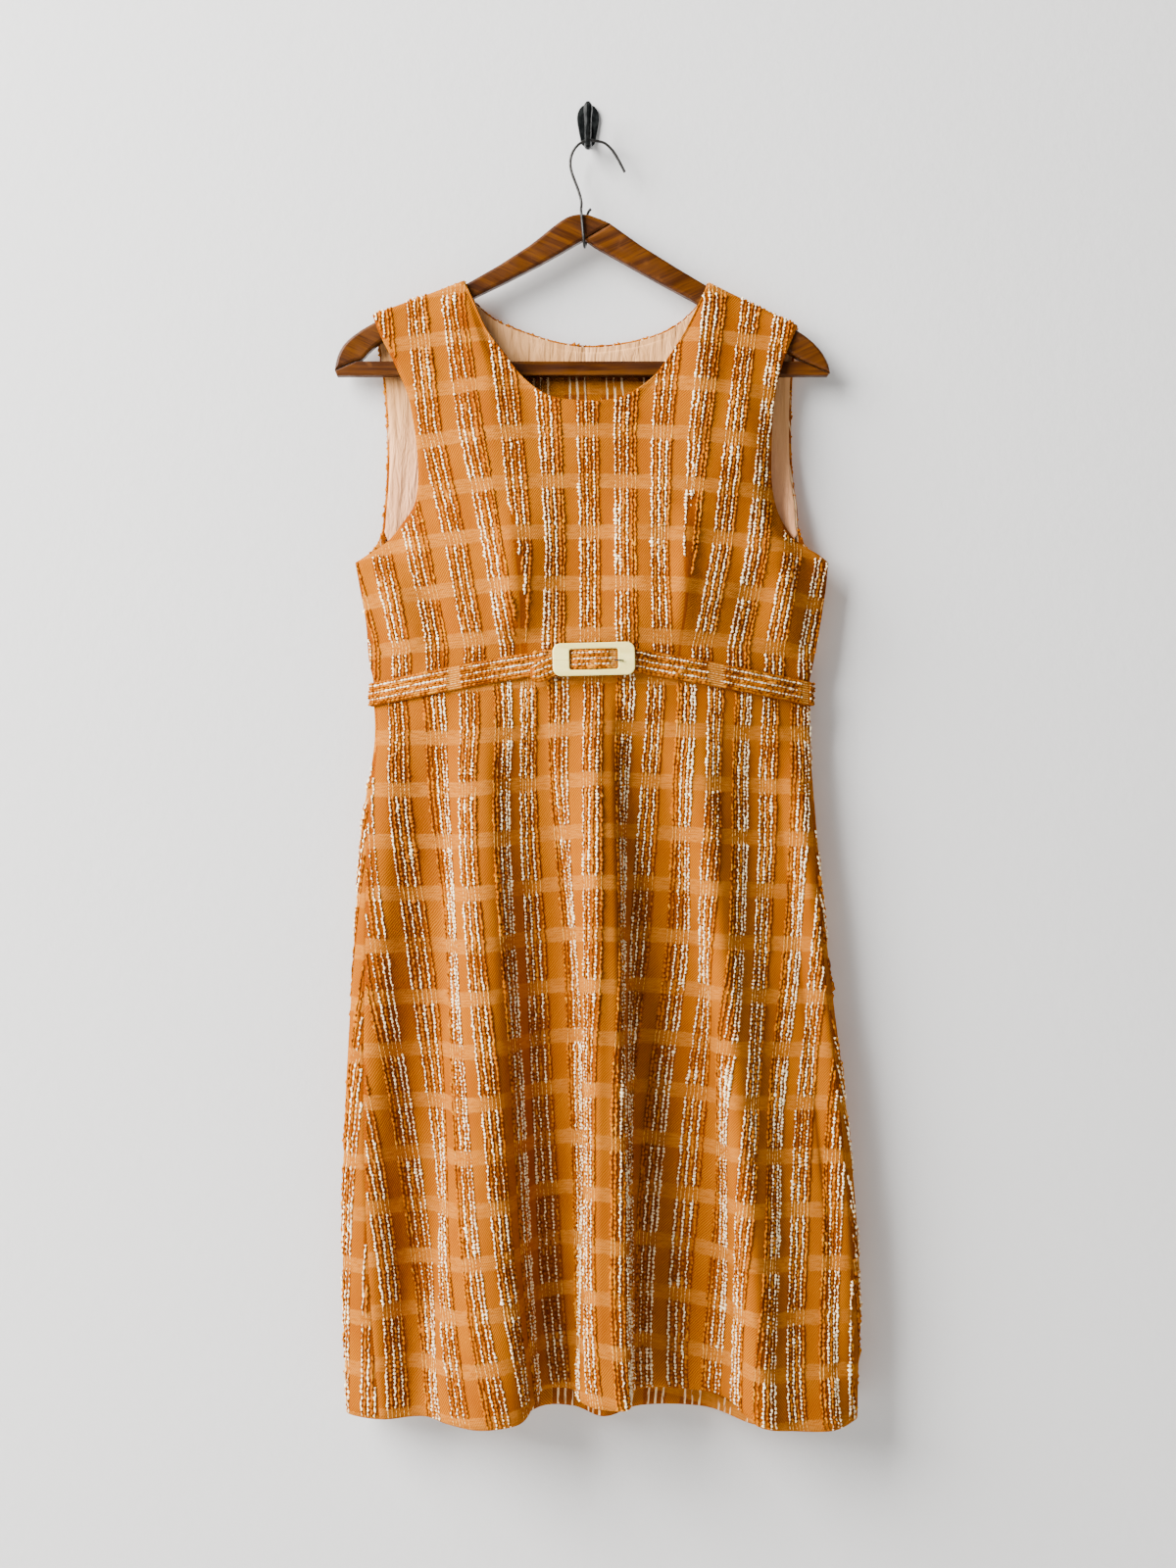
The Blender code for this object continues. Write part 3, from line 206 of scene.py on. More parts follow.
# Soft folds of the front bodice: a ridge along a line, with its width and how far it stands out
Tuck = namedtuple("Tuck", "name top_x top_z low_x low_z width rise")
TUCKS = [
    Tuck("left bust dart", -72.0, -345.0, -60.0, -480.0, 15.0, 6.5),
    Tuck("right bust dart", 88.0, -345.0, 79.0, -480.0, 15.0, 6.5),
    Tuck("left of centre", -26.0, -330.0, -22.0, -470.0, 18.0, -3.5),
    Tuck("right of centre", 38.0, -330.0, 38.0, -470.0, 16.0, 3.0),
    Tuck("left drag", -176.0, -405.0, -140.0, -492.0, 12.0, 5.0),
    Tuck("left drag hollow", -146.0, -385.0, -108.0, -480.0, 14.0, -4.5),
    Tuck("right drag", 166.0, -372.0, 176.0, -492.0, 13.0, 5.0),
    Tuck("right drag hollow", 140.0, -380.0, 136.0, -486.0, 14.0, -4.0),
]

TUCK_ENDS, CREASE_ENDS = 0.5, 0.6       # the lower, the shorter their ends fade out

UNDER_BELT = 0.12           # height row up to which the bodice is flat under the belt
ABOVE_BELT = 0.33           # height rows over which it takes on its own depths

# The belt's free end, from the right of the buckle, behind its frame, out through the opening and
# behind the frame again, to the tip that hangs over the other end
Strap = namedtuple("Strap", "name x y z width")
FREE_END = [
    Strap("beside the buckle", 47.0, -64.6, -480.0, 19.0),
    Strap("behind the right bar", 38.0, -66.6, -479.0, 18.2),
    Strap("right edge of the opening", 26.8, -67.0, -478.0, 15.8),
    Strap("in the opening, right", 20.0, -69.2, -478.1, 15.8),
    Strap("middle of the opening", 5.0, -70.1, -478.5, 15.8),
    Strap("in the opening, left", -9.5, -69.2, -478.9, 15.8),
    Strap("left edge of the opening", -16.0, -67.1, -479.4, 15.8),
    Strap("behind the left bar", -25.0, -66.6, -481.8, 17.6),
    Strap("clear of the buckle", -34.0, -67.2, -485.4, 18.6),
    Strap("near the tip", -42.0, -67.6, -488.4, 18.0),
    Strap("tip, rounding", -46.2, -67.6, -489.8, 14.5),
    Strap("tip", -49.0, -67.4, -490.6, 6.5),
]
FREE_END_JOIN = 5.0         # from its first row to where it joins the belt's own line
BELT_EASE = 0.5             # between the belt and the dress
BELT_LEFT_END_X = -20.0     # the sewn end, hidden behind the buckle's left bar
BELT_SIDE_LEFT_X = -186.0   # where the front and back stretches of the belt meet
BELT_SIDE_RIGHT_X = 192.0

# ---- shells: a little thinner than their solids, so that the yarns have room.  A yarn's middle
# starts at its base, measured out from the middle of the shell
SHELL = 1.5
FACING_SHELL = LINEN * 0.8
BELT_SHELL = BELT * 0.9
YARN_BASE = SHELL * 0.36
BELT_YARN_BASE = BELT * 0.42
BELT_YARN_STAND = 0.35
ROUND_RIM = 0.4             # how far a shell's rim stands out, as a share of its thickness

# ---- how finely the panels are drawn
SKIRT_STEPS = 8             # columns between two rows of the fold tables
SKIRT_ROWS = 112
STRAP_COLUMNS = 15
NECK_COLUMNS = 66
NECK_STEPS = 12             # points between two rows of a neckline's table
BODICE_ROWS = np.concatenate([np.linspace(0, 1, 27), np.linspace(1, 2, 52)[1:],
                              np.linspace(2, 3, 7)[1:]])
BELT_STEPS = 12             # points between two rows of the fold tables, on the belt's line
FREE_END_STEPS = 6
BELT_COLUMNS = 9
BELT_SPACING = 2.5          # between two points along the belt
BELT_CROWN, BELT_SINK = 0.35, 0.1       # how far its middle stands out, less what it all sits in
BELT_ROLL = 0.35            # how far its edges turn up and down
BELT_START = 12.0           # place along the yarns of each stretch's first point

# Back facing, inside the neck and armholes: its lower edge, from the centre out
FACING_LOW = [(0.0, -219.0), (60.0, -221.0), (100.0, -262.0), (130.0, -320.0), (155.0, -378.0),
              (205.0, -425.0)]
FACING_BELOW_SEAM = 9.0
FACING_INSET = 2.0
FACING_SIDE_INSET = 8.0
FACING_EASE = 0.6
FACING_ROWS = 60
FACING_SPAN = (0.2, 2.5, 2001)          # height rows that are looked through for its two edges
FACING_SIDE_ROWS = 1.1      # height row up to which it ends at the side seam, not the armhole
FACING_LOOSE, LOOSE_SHARE = 1.4, 0.35   # how far its lower edge hangs clear, and over what share
HELD_SHARE = 0.2            # share under its top edge where creases fade out

# Creases fade in from a panel's edges: where they start, and over how far
SKIRT_FADE = (0.02, 0.12)               # share of the skirt, down from the waist seam
BODICE_FADE_LOW = (0.16, 0.2)           # height rows, up from the waist seam
BODICE_FADE_HIGH = (2.0, 0.15)          # height rows, down from the shoulders
TUCK_EDGE = 0.05                        # share of the bodice's width
SKIRT_EDGE, BODICE_EDGE = 6.0, 5.0      # columns, in from a side

# ---- the weave.  Groups of thick yarns stand a repeat apart, a peach weft band crosses them at
# every step down, and the yarns of every second group dive under it
REPEAT = 33.2
BAND_STEP = 44.0
BAND_HALF = 6.6
BAND_RAGGED, BAND_FADE = 0.9, 1.6       # how unevenly and over how far a yarn goes under a band
BACK_WAVE, BACK_WAVE_RUN = 6.0, 60.0    # how far the bands wander on the back, and how often
Group = namedtuple("Group", "white orange")
ODD_GROUP = Group((-9.2, -5.0, 1.7), (-1.7, 5.9, 9.2))
EVEN_GROUP = Group((-8.4, -1.7, 4.8), (-5.0, 1.6, 8.4))
BELT_GROUP = Group((-6.9, -0.9, 4.7), (-8.6, -4.9, -2.7, 1.3, 3.0, 6.7, 8.5))

# Where each group's middle runs.  On the skirt's front: millimetres along the cloth from the left
# side seam, at five levels; on the bodice's front: x, at four heights
Chart = namedtuple("Chart", "level length places")
SKIRT_GROUPS = range(-9, 12)
SKIRT_CHART = [
    Chart(0.098, 396.8, (-68, -36, -8, 21.4, 57.5, 89.2, 121, 141, 168.1, 200, 227.8, 254.5,
                         281.9, 308.1, 333.6, 359.1, 387.9, 416, 446, 477, 508)),
    Chart(0.393, 466.6, (-57, -24, 10.1, 48.1, 84.9, 111, 140, 169, 204, 235.6, 268, 295,
                         327, 356, 385.6, 411, 437, 459, 488, 520, 552)),
    Chart(0.554, 511.5, (-37, -4, 29.5, 63, 98.9, 126, 155.8, 185, 221, 251.5, 281.5, 313.1, 343.5,
                         373.4, 406.7, 436, 460, 484, 511, 543, 575)),
    Chart(0.804, 565.0, (-16, 16.8, 48.5, 81.6, 112.9, 140.5, 172, 206, 243, 271.5, 301, 331, 361.6,
                         393.5, 427.7, 461, 491, 517, 546, 570, 600)),
    Chart(1.0, 586.9, (-18, 16, 53, 88, 122, 154, 184, 214.6, 250.5, 279.5, 308, 338, 368.5,
                       400, 429.8, 461, 499, 532, 563, 590, 618)),
]
BODICE_GROUPS = (-8, -7, -6, -5, -4, -3, -2.74, -1.82, -1, 0, 1, 2, 2.47, 3.44, 4, 5, 6, 7, 8)
BODICE_CHART = [
    Chart(-467.0, 0, (-224, -191, -162.9, -131, -97.6, -66.4, -57.9, -56.5, -29.6, 1.7, 33.8, 64.3,
                      79.2, 80.4, 98.3, 130.2, 163.2, 192.7, 222)),
    Chart(-382.0, 0, (-247, -214, -181.9, -147.6, -113, -80.5, -73.8, -51.5, -28.8, 1.7, 33.0, 62.3,
                      74.3, 98.5, 115.4, 147.4, 178.6, 209, 242)),
    Chart(-279.0, 0, (-276, -242, -208, -172.5, -137.1, -101.4, -92.4, -60.4, -33.2, 0.0, 32.4,
                      64.7, 79.8, 110.6, 128, 156.2, 186, 216, 248)),
    Chart(-163.0, 0, (-276, -245, -213, -182.5, -151, -118.6, -109, -75, -41, -2, 37, 76,
                      93.5, 126, 143.5, 174.2, 205, 237, 269)),
]
# Height of the first peach band and the step down to the next, at the left, middle and right
SKIRT_BANDS = ((-590.6, 45.35), (-580.6, 44.25), (-587.5, 45.9))
SKIRT_BAND_PLACES = (-110.0, 8.0, 165.0)
BODICE_BAND = (-278.1, 44.6, 8.0)       # height of one band, step, and sag at BAND_SAG_AT
BAND_SAG_AT = 145.0         # from the middle of the bodice
BACK_OFFSET = 10.0          # from the centre back seam to the nearest group of yarns
DARTS = ((-2.74, -1.82), (2.47, 3.44))  # groups between which a dart takes cloth in

# ---- creases: soft ridges (rise over 0) and troughs, along a path of x and z.
# The lean makes the right flank wider (over 1) or steeper (under 1) than the left one
Crease = namedtuple("Crease", "name path width lean rise")
BODICE_CREASES = [
    Crease("left dart pucker", [(-68, -352), (-66, -400), (-61, -450)], 7.0, 1.6, 1.6),
    Crease("left of the left dart", [(-86, -362), (-82, -410), (-76, -458)], 9.0, 1.3, -1.6),
    Crease("right dart pucker", [(85, -350), (83, -400), (79, -450)], 7.0, 0.7, 1.6),
    Crease("right of the right dart", [(103, -360), (98, -410), (93, -458)], 9.0, 0.8, -1.4),
    Crease("middle, left", [(-38, -330), (-44, -380), (-42, -452)], 11.0, 1.2, 1.5),
    Crease("middle hollow", [(6, -345), (4, -400), (2, -455)], 13.0, 1.0, -1.3),
    Crease("middle, right", [(52, -345), (54, -395), (50, -456)], 10.0, 1.0, 1.2),
    Crease("left armhole drag", [(-172, -350), (-150, -372), (-124, -420), (-112, -466)], 9.0,
           1.4, 2.6),
    Crease("left armhole hollow", [(-178, -372), (-158, -398), (-134, -430), (-124, -470)], 8.0,
           1.0, -2.8),
    Crease("left side drag", [(-190, -396), (-168, -424), (-150, -470)], 7.0, 1.3, 2.4),
    Crease("left bust hollow", [(-104, -300), (-98, -350), (-96, -400)], 10.0, 1.0, -1.8),
    Crease("right fullness", [(130, -230), (154, -320), (168, -400), (168, -480)], 30.0, 0.6, 5.5),
    Crease("right armhole drag", [(170, -352), (146, -384), (118, -428)], 8.0, 0.8, 1.6),
    Crease("right armhole hollow", [(184, -376), (160, -410), (138, -458)], 9.0, 1.0, -1.8),
    Crease("right side drag", [(196, -400), (180, -436), (168, -470)], 8.0, 0.8, 1.5),
    Crease("left strap crease", [(-128, -190), (-122, -232), (-112, -276)], 9.0, 1.2, -1.3),
    Crease("right strap crease", [(126, -192), (122, -236), (110, -280)], 9.0, 0.9, -1.3),
    Crease("left bust swell", [(-120, -300), (-92, -330), (-78, -366)], 20.0, 1.2, 1.6),
    Crease("right bust swell", [(128, -298), (104, -330), (92, -366)], 20.0, 0.9, 1.6),
    Crease("under the neck", [(-40, -268), (0, -276), (44, -267)], 10.0, 1.0, -1.0),
]


def down_the_skirt(*places):
    """A crease's path through these places across, at levels from the waist to the hem."""
    return list(zip(places, (-430, -556, -661, -788, -915, -1050, -1142)))


SKIRT_CREASES = [
    Crease("left side roll", [(-168, -430), (-173, -556), (-179, -661), (-186, -788), (-188, -915),
                              (-182, -1130)], 10.0, 1.0, 5.5),
    Crease("left side hollow", [(-128, -430), (-132, -600), (-133, -661), (-136, -788),
                                (-137, -915), (-146, -1050), (-152, -1142)], 34.0, 0.42, -13.0),
    Crease("left ridge crest", down_the_skirt(-94, -90, -84, -80, -76, -68, -64),
           20.0, 0.5, 5.5),
    Crease("left waist pucker", [(-122, -514), (-120, -548), (-116, -590)], 6.0, 1.3, 1.6),
    Crease("left valley", down_the_skirt(-54, -38, -26, -14, -11, -14, -16),
           36.0, 0.24, -8.5),
    Crease("left of centre pucker", [(-30, -500), (-26, -545), (-24, -590)], 7.0, 1.0, 1.5),
    Crease("centre ridge", [(3, -430), (7, -600), (8, -720), (9, -900), (9, -1142)], 10.0, 0.6,
           5.0),
    Crease("right valley", down_the_skirt(45, 59, 80, 97, 104, 115, 120),
           34.0, 0.3, -8.5),
    Crease("right waist pucker", [(80, -508), (84, -550), (90, -600)], 7.0, 0.8, 1.7),
    Crease("right ridge crest", down_the_skirt(94, 97, 105, 120, 131, 142, 147),
           13.0, 0.8, 5.5),
    Crease("right hollow", down_the_skirt(128, 149, 174, 200, 214, 218, 219),
           48.0, 0.3, -16.0),
    Crease("right hip drag", [(158, -540), (163, -600), (168, -655)], 5.5, 0.8, 3.0),
    Crease("right hip drag hollow", [(169, -545), (175, -604), (180, -660)], 5.5, 1.0, -2.4),
    Crease("right side roll", [(180, -530), (193, -661), (206, -788), (219, -915)], 9.0, 0.8,
           3.0),
    Crease("low left wave", [(-120, -960), (-122, -1040), (-124, -1125)], 9.0, 1.0, 1.4),
]
BACK_SKIRT_CREASES = [
    Crease("left side hollow", [(-138, -520), (-148, -660), (-160, -790), (-162, -915),
                                (-155, -1050), (-150, -1136)], 14.0, 1.2, -3.0),
    Crease("left side roll", [(-170, -540), (-184, -660), (-194, -790), (-196, -915),
                              (-190, -1050), (-186, -1130)], 9.0, 0.9, 3.0),
    Crease("left back dip", [(-110, -520), (-112, -600), (-116, -700)], 12.0, 1.2, -1.6),
    Crease("left back roll", [(-60, -540), (-58, -700), (-56, -900)], 14.0, 1.0, 1.6),
    Crease("right back roll", [(70, -530), (74, -690), (78, -900)], 14.0, 1.2, 1.6),
    Crease("right back dip", [(120, -520), (126, -620), (132, -760)], 12.0, 1.0, -1.6),
    Crease("low back wave", [(30, -860), (26, -980), (22, -1110)], 16.0, 1.0, 1.5),
]
BACK_BODICE_CREASES = [
    Crease("left back dart", [(-86, -360), (-84, -410), (-80, -460)], 9.0, 1.2, 1.2),
    Crease("right back dart", [(92, -356), (90, -410), (84, -460)], 9.0, 0.8, 1.2),
    Crease("left back drag", [(-176, -390), (-150, -420), (-120, -456)], 10.0, 1.2, -1.2),
    Crease("right back drag", [(182, -388), (158, -420), (130, -456)], 10.0, 0.9, -1.2),
]
FACING_CREASES = [
    Crease("left hang crease", [(-70, -192), (-66, -214), (-60, -240)], 3.0, 1.2, 1.4),
    Crease("left crease", [(-48, -204), (-46, -222), (-44, -244)], 2.6, 1.0, 1.3),
    Crease("near the middle, left", [(-22, -206), (-24, -222), (-22, -240)], 2.4, 1.4, 1.1),
    Crease("near the middle, right", [(20, -206), (24, -224), (22, -242)], 3.0, 0.8, 1.3),
    Crease("right crease", [(50, -202), (46, -220), (44, -240)], 2.6, 1.0, 1.2),
    Crease("right hang crease", [(76, -194), (70, -216), (62, -238)], 3.2, 1.0, 1.4),
    Crease("left armhole crease", [(-166, -238), (-168, -290), (-172, -340)], 4.0, 1.3, 1.1),
    Crease("right armhole crease", [(170, -238), (171, -290), (174, -346)], 4.0, 0.8, 1.1),
]

# ---- thick yarns: how far out they stand and how close their beads are, on the front and behind
Spin = namedtuple("Spin", "radius bead wander slub stand spacing")
SPINS = {
    "white": Spin(0.76, 0.42, 0.8, 0.8, 0.75, (1.6, 2.4)),
    "orange": Spin(1.08, 0.36, 0.7, 0.7, 0.5, (2.0, 2.8)),
}
# Noise that swells or thins a yarn: its scale and detail, the span of it that counts, and the two
# values that this span is stretched to
SWELLING = (55.0, 1.0, 0.60, 0.70, 0.0, 1.0)
THINNING = (24.0, 2.0, 0.34, 0.60, 0.72, 1.1)
BEAD_SIZE = (0.68, 1.32)    # smallest and largest bead, of the mean
BEAD_SHIFT = (1.0, 0.25, 0.3)           # how far a bead strays to either side along X, Y and Z
RING_POINTS = 4             # round a yarn
YARN_INSET = 0.8            # nearest that a yarn runs to a side seam
YARN_END = 0.4              # how far from an end of the cloth it stops
SHORTEST = 8.0
THIN_IN_BAND, SUNK_IN_BAND = 0.62, 0.95
THIN_PRESSED = 0.7
LEAST_GIRTH = 0.02
CROWDED, CROWDED_FADE = 1.7, 0.5        # cloth to a millimetre where a dart takes yarns in
UNEVEN = (0.7, 1.3)         # shortest and longest step from bead to bead, of the mean

# ---- the knobbly yarn along the back's neckline and armholes
NUB_ROWS = 1.02             # height row from which it shows
NUB_SPACING, NUB_STAND = 1.7, 0.3
NUB_SHARE, NUB_GIRTH, NUB_THIN = 0.45, (0.9, 1.7), 0.5

# ---- where the belt and the buckle's two bars press the yarns flat
BELT_PRESS, BELT_PRESS_FADE = 13.0, 2.5
BUCKLE_BARS = ((-23, 8.5), (33, 8.5))   # middle and reach of each bar
BAR_PRESS_FADE = 1.5
BUCKLE_Y = -60.0            # only what is in front of this is behind the buckle

# Cut of each piece, width and length in metres, with its area where it isn't a rectangle
Cut = namedtuple("Cut", "flat area rests_on")
CUTS = {
    "front_skirt": Cut((0.620, 0.655), 0.330, ["front_bodice_cloth", "belt_right_cloth"]),
    "back_skirt_left": Cut((0.300, 0.650), 0.162, ["back_bodice_left_cloth"]),
    "back_skirt_right": Cut((0.310, 0.650), 0.170, ["back_bodice_right_cloth"]),
    "front_bodice": Cut((0.440, 0.375), 0.120, ["hanger_arm_left", "hanger_arm_right"]),
    "back_bodice_left": Cut((0.225, 0.365), 0.066, ["hanger_arm_left"]),
    "back_bodice_right": Cut((0.225, 0.365), 0.066, ["hanger_arm_right"]),
    "back_facing_left": Cut((0.185, 0.285), 0.022, ["back_bodice_left_cloth"]),
    "back_facing_right": Cut((0.185, 0.285), 0.022, ["back_bodice_right_cloth"]),
    "belt_left": Cut((0.185, 0.019), None, ["front_skirt_cloth"]),
    "belt_back": Cut((0.440, 0.019), None, ["back_skirt_left_cloth"]),
    "belt_right": Cut((0.255, 0.019), None, ["front_skirt_cloth", "belt_buckle"]),
}

# ---- colours: the share of red, green and blue light that each gives back
GOLD, DEEP_GOLD, TWILL_SHADE = (0.40, 0.130, 0.0), (0.29, 0.080, 0.0), (0.17, 0.034, 0.0)
# rust ground where thick yarns lie, darkened with painted shade for the gaps between them
RUST_GAP_SHADE, DEEP_RUST_GAP_SHADE = (0.20, 0.040, 0.0), (0.10, 0.016, 0.0)
PEACH, PEACH_DEEP = (0.37, 0.126, 0.013), (0.26, 0.074, 0.002)
# each yarn's own colour, the painted shade in the nips between its beads, and its flecks
WHITE, WHITE_SHADE, WHITE_FLECK = (0.99, 0.84, 0.52), (0.36, 0.104, 0.002), (0.44, 0.130, 0.001)
ORANGE, ORANGE_SHADE, ORANGE_FLECK = (0.36, 0.098, 0.0), (0.13, 0.024, 0.0), (0.56, 0.22, 0.01)
GHOST, REVERSE_LINE = (0.62, 0.31, 0.06), (0.72, 0.48, 0.25)
CREAM, CREAM_DEEP, PINK = (0.62, 0.31, 0.12), (0.44, 0.20, 0.06), (0.74, 0.34, 0.17)
WOOD_LIGHT, WOOD_DARK = (0.086, 0.025, 0.001), (0.030, 0.007, 0.0003)
WOOD_PORE, WOOD_WORN = (0.014, 0.003, 0.0003), (0.17, 0.058, 0.008)
IVORY, IVORY_DEEP, IVORY_SCUFF = (0.86, 0.76, 0.27), (0.72, 0.61, 0.18), (0.45, 0.36, 0.10)
STEEL, STEEL_DARK = (0.020, 0.019, 0.018), (0.012, 0.011, 0.010)
ENAMEL, ENAMEL_WORN = (0.003, 0.0035, 0.0036), (0.010, 0.011, 0.011)
WALL, FLOOR = (0.58, 0.58, 0.585), (0.55, 0.54, 0.52)

# ---- the studio, in metres
SKY, AMBIENT = (0.93, 0.96, 1.0), 0.25
ROOM, FLOOR_Z, WALL_TOP = 6.0, -1.9, 4.0
WALL_Y = 0.0005             # just behind the wall hook
Light = namedtuple("Light", "name place aim size power colour")
LIGHTS = [
    Light("Key", (-2.85, -1.75, 1.35), (0.0, -0.05, -0.55), 2.8, 1000.0, (1.0, 0.985, 0.96)),
    Light("Behind the wall", (0.9, 3.2, 0.6), (0.0, 0.0, -0.6), 2.5, 330.0, (1.0, 1.0, 1.0)),
]
LENS, SENSOR = 46.2, 36.0
EYE = (0.0, -1.795, -0.5855)
NEAR, FAR = 0.05, 50.0
ARM_SLOPE = 0.42            # of the hanger's arms, in radians


# ---------------------------------------------------------------------------- curves and grids

def between(p, q, low, high, t):
    """The value at t on a straight way from p at low to q at high."""
    return ((high - t) * p + (t - low) * q) / (high - low)


def through(points, steps, closed=False):
    """A smooth line through the points, with the given steps between each two of them.

    Numbers after the third ride along and don't affect how the line runs.
    """
    pts = [np.array(p, float) for p in points]
    if closed:
        chain = [pts[-1]] + pts + pts[:2]
    else:
        chain = [2 * pts[0] - pts[1]] + pts + [2 * pts[-1] - pts[-2]]
    line = []
    share = np.linspace(0, 1, steps, endpoint=False)[:, None]
    for a, b, c, d in zip(chain, chain[1:], chain[2:], chain[3:]):
        k = [0.0]
        for p, q in ((a, b), (b, c), (c, d)):
            k.append(k[-1] + math.sqrt(np.linalg.norm((q - p)[:3])))
        t = k[1] + (k[2] - k[1]) * share
        ab, bc, cd = (between(a, b, k[0], k[1], t), between(b, c, k[1], k[2], t),
                      between(c, d, k[2], k[3], t))
        line.append(between(between(ab, bc, k[0], k[2], t), between(bc, cd, k[1], k[3], t),
                            k[1], k[2], t))
    if not closed:
        line.append(pts[-1][None])
    return np.vstack(line)


def glide(xs, ys, x):
    """A smooth value at x from the values ys at the rising places xs."""
    xs, ys = np.asarray(xs, float), np.asarray(ys, float)
    wide = (slice(None),) + (None,) * (ys.ndim - 1)
    steps = np.diff(ys, axis=0) / np.diff(xs)[wide]
    slopes = np.empty_like(ys)
    slopes[0], slopes[-1] = steps[0], steps[-1]
    left, right = np.diff(xs)[:-1][wide], np.diff(xs)[1:][wide]
    slopes[1:-1] = (steps[:-1] * right + steps[1:] * left) / (left + right)
    x = np.clip(x, xs[0], xs[-1])
    i = np.clip(np.searchsorted(xs, x, side="right") - 1, 0, len(xs) - 2)
    h = xs[i + 1] - xs[i]
    s = (x - xs[i]) / h
    return (ys[i] * (1 + 2 * s) * (1 - s) ** 2 + slopes[i] * h * s * (1 - s) ** 2
            + ys[i + 1] * s * s * (3 - 2 * s) + slopes[i + 1] * h * s * s * (s - 1))


def ease(s):
    """From 0 to 1 with a soft start and end, as s goes from 0 to 1."""
    s = np.clip(s, 0.0, 1.0)
    return s * s * (3 - 2 * s)


def edge_x(edge, z):
    """Where an edge of the bodice is at the height z."""
    rows = sorted(edge)
    return glide([row.z for row in rows], [row.x for row in rows], z)


def unit(vectors):
    """Vectors of length 1 in the same directions."""
    return vectors / np.maximum(np.linalg.norm(vectors, axis=-1, keepdims=True), 1e-9)


def line_run(points):
    """Millimetres run along a line of points, from its first one."""
    return np.concatenate([[0.0], np.cumsum(np.linalg.norm(np.diff(points, axis=0), axis=1))])


def sample(marks, run, values):
    """The values, one column or several, at marks along a run."""
    return np.column_stack([np.interp(marks, run, v) for v in np.atleast_2d(values.T)])


def outward(grid):
    """Unit normals of a grid of points whose rows go up and whose columns go round."""
    return unit(np.cross(np.gradient(grid, axis=1), np.gradient(grid, axis=0)))


# ---------------------------------------------------------------------------- the dress's form

def waist_z(x, rise):
    """Height of the waist seam at x, on the side of the dress where it rises that much."""
    off, far = (np.hypot(v - WAIST_CENTRE_X, WAIST_FLAT) - WAIST_FLAT
                for v in (x, LEFT_SIDE[0].x))
    return WAIST_Z + rise * (1 - np.minimum(off / far, 1.0))


def skirt_line(t, steps):
    """The closed line round the skirt at t, from 0 at the waist seam to 1 at the hem."""
    s = (t - OPENING * (1 - math.exp(-t / OPENING))) / (1 - OPENING * (1 - math.exp(-1 / OPENING)))
    waist, knee, hem = (1 - s) * (1 - 2 * s), 4 * s * (1 - s), s * (2 * s - 1)
    points = []
    for folds, rise in ((FRONT_FOLDS, WAIST_RISE), (BACK_FOLDS, WAIST_RISE_BACK)):
        for fold in folds:
            x = waist * fold.waist_x + knee * fold.knee_x + hem * fold.hem_x
            y = waist * fold.waist_y + knee * fold.knee_y + hem * fold.hem_y
            z = waist_z(fold.waist_x, rise) * (1 - t) + fold.hem_z * t
            points.append((x, y, z, fold.waist_x, fold.hem_z))
    line = through(points, steps, closed=True)
    rise = np.where(np.arange(len(line)) < len(FRONT_FOLDS) * steps, WAIST_RISE, WAIST_RISE_BACK)
    line[:, 2] = waist_z(line[:, 3], rise) * (1 - t) + line[:, 4] * t
    line = line[:, :3]
    levels = [(WAIST_Z - row.z) / (WAIST_Z - HEM_Z) for row in OUTLINE]
    left = glide(levels, [row.left for row in OUTLINE], t) / line[:, 0].min()
    right = glide(levels, [row.right for row in OUTLINE], t) / line[:, 0].max()
    line[:, 0] *= np.where(line[:, 0] < 0, left, right)
    return line


def top_line(neckline):
    """Points along a panel's top: shoulder seam, neckline, shoulder seam."""
    left, right = (np.linspace((start.x, start.z), (end.x, end.z), STRAP_COLUMNS + 1)
                   for start, end in ((SHOULDER_LEFT, NECK_LEFT), (NECK_RIGHT, SHOULDER_RIGHT)))
    fine = through([(edge.x, edge.z) for edge in neckline], NECK_STEPS)
    run = line_run(fine)
    neck = sample(np.linspace(0.0, run[-1], NECK_COLUMNS + 2), run, fine)
    return np.vstack([left, neck[1:-1], right])


def shoulder_z(x):
    """Height of the shoulder seam's line at x, carried on across the neck."""
    heights = []
    for far, near in ((SHOULDER_LEFT, NECK_LEFT), (SHOULDER_RIGHT, NECK_RIGHT)):
        heights.append(near.z + (near.z - far.z) / (near.x - far.x) * (x - near.x))
    return np.where(x < 0, heights[0], heights[1])


def over_the_arm(x, y, z):
    """The depth of a point near the shoulder seam, turned over the hanger's arm."""
    drop = np.clip((shoulder_z(x) - z) / WRAP, 0.0, 1.0)
    return HANGER_Y + (y - HANGER_Y) * (1 - (1 - drop) ** WRAP_POWER) ** (1 / WRAP_POWER)


def tuck_rise(x, z):
    """How far the soft folds lift the front bodice at points."""
    total = np.zeros_like(x)
    for tuck in TUCKS:
        along = np.array([tuck.low_x - tuck.top_x, tuck.low_z - tuck.top_z])
        offset = np.column_stack([x - tuck.top_x, z - tuck.top_z])
        s = np.clip(offset @ along / (along @ along), 0.0, 1.0)
        away = np.linalg.norm(offset - s[:, None] * along, axis=1)
        total += tuck.rise * np.sin(np.pi * s) ** TUCK_ENDS * np.exp(-(away / tuck.width) ** 2)
    return total


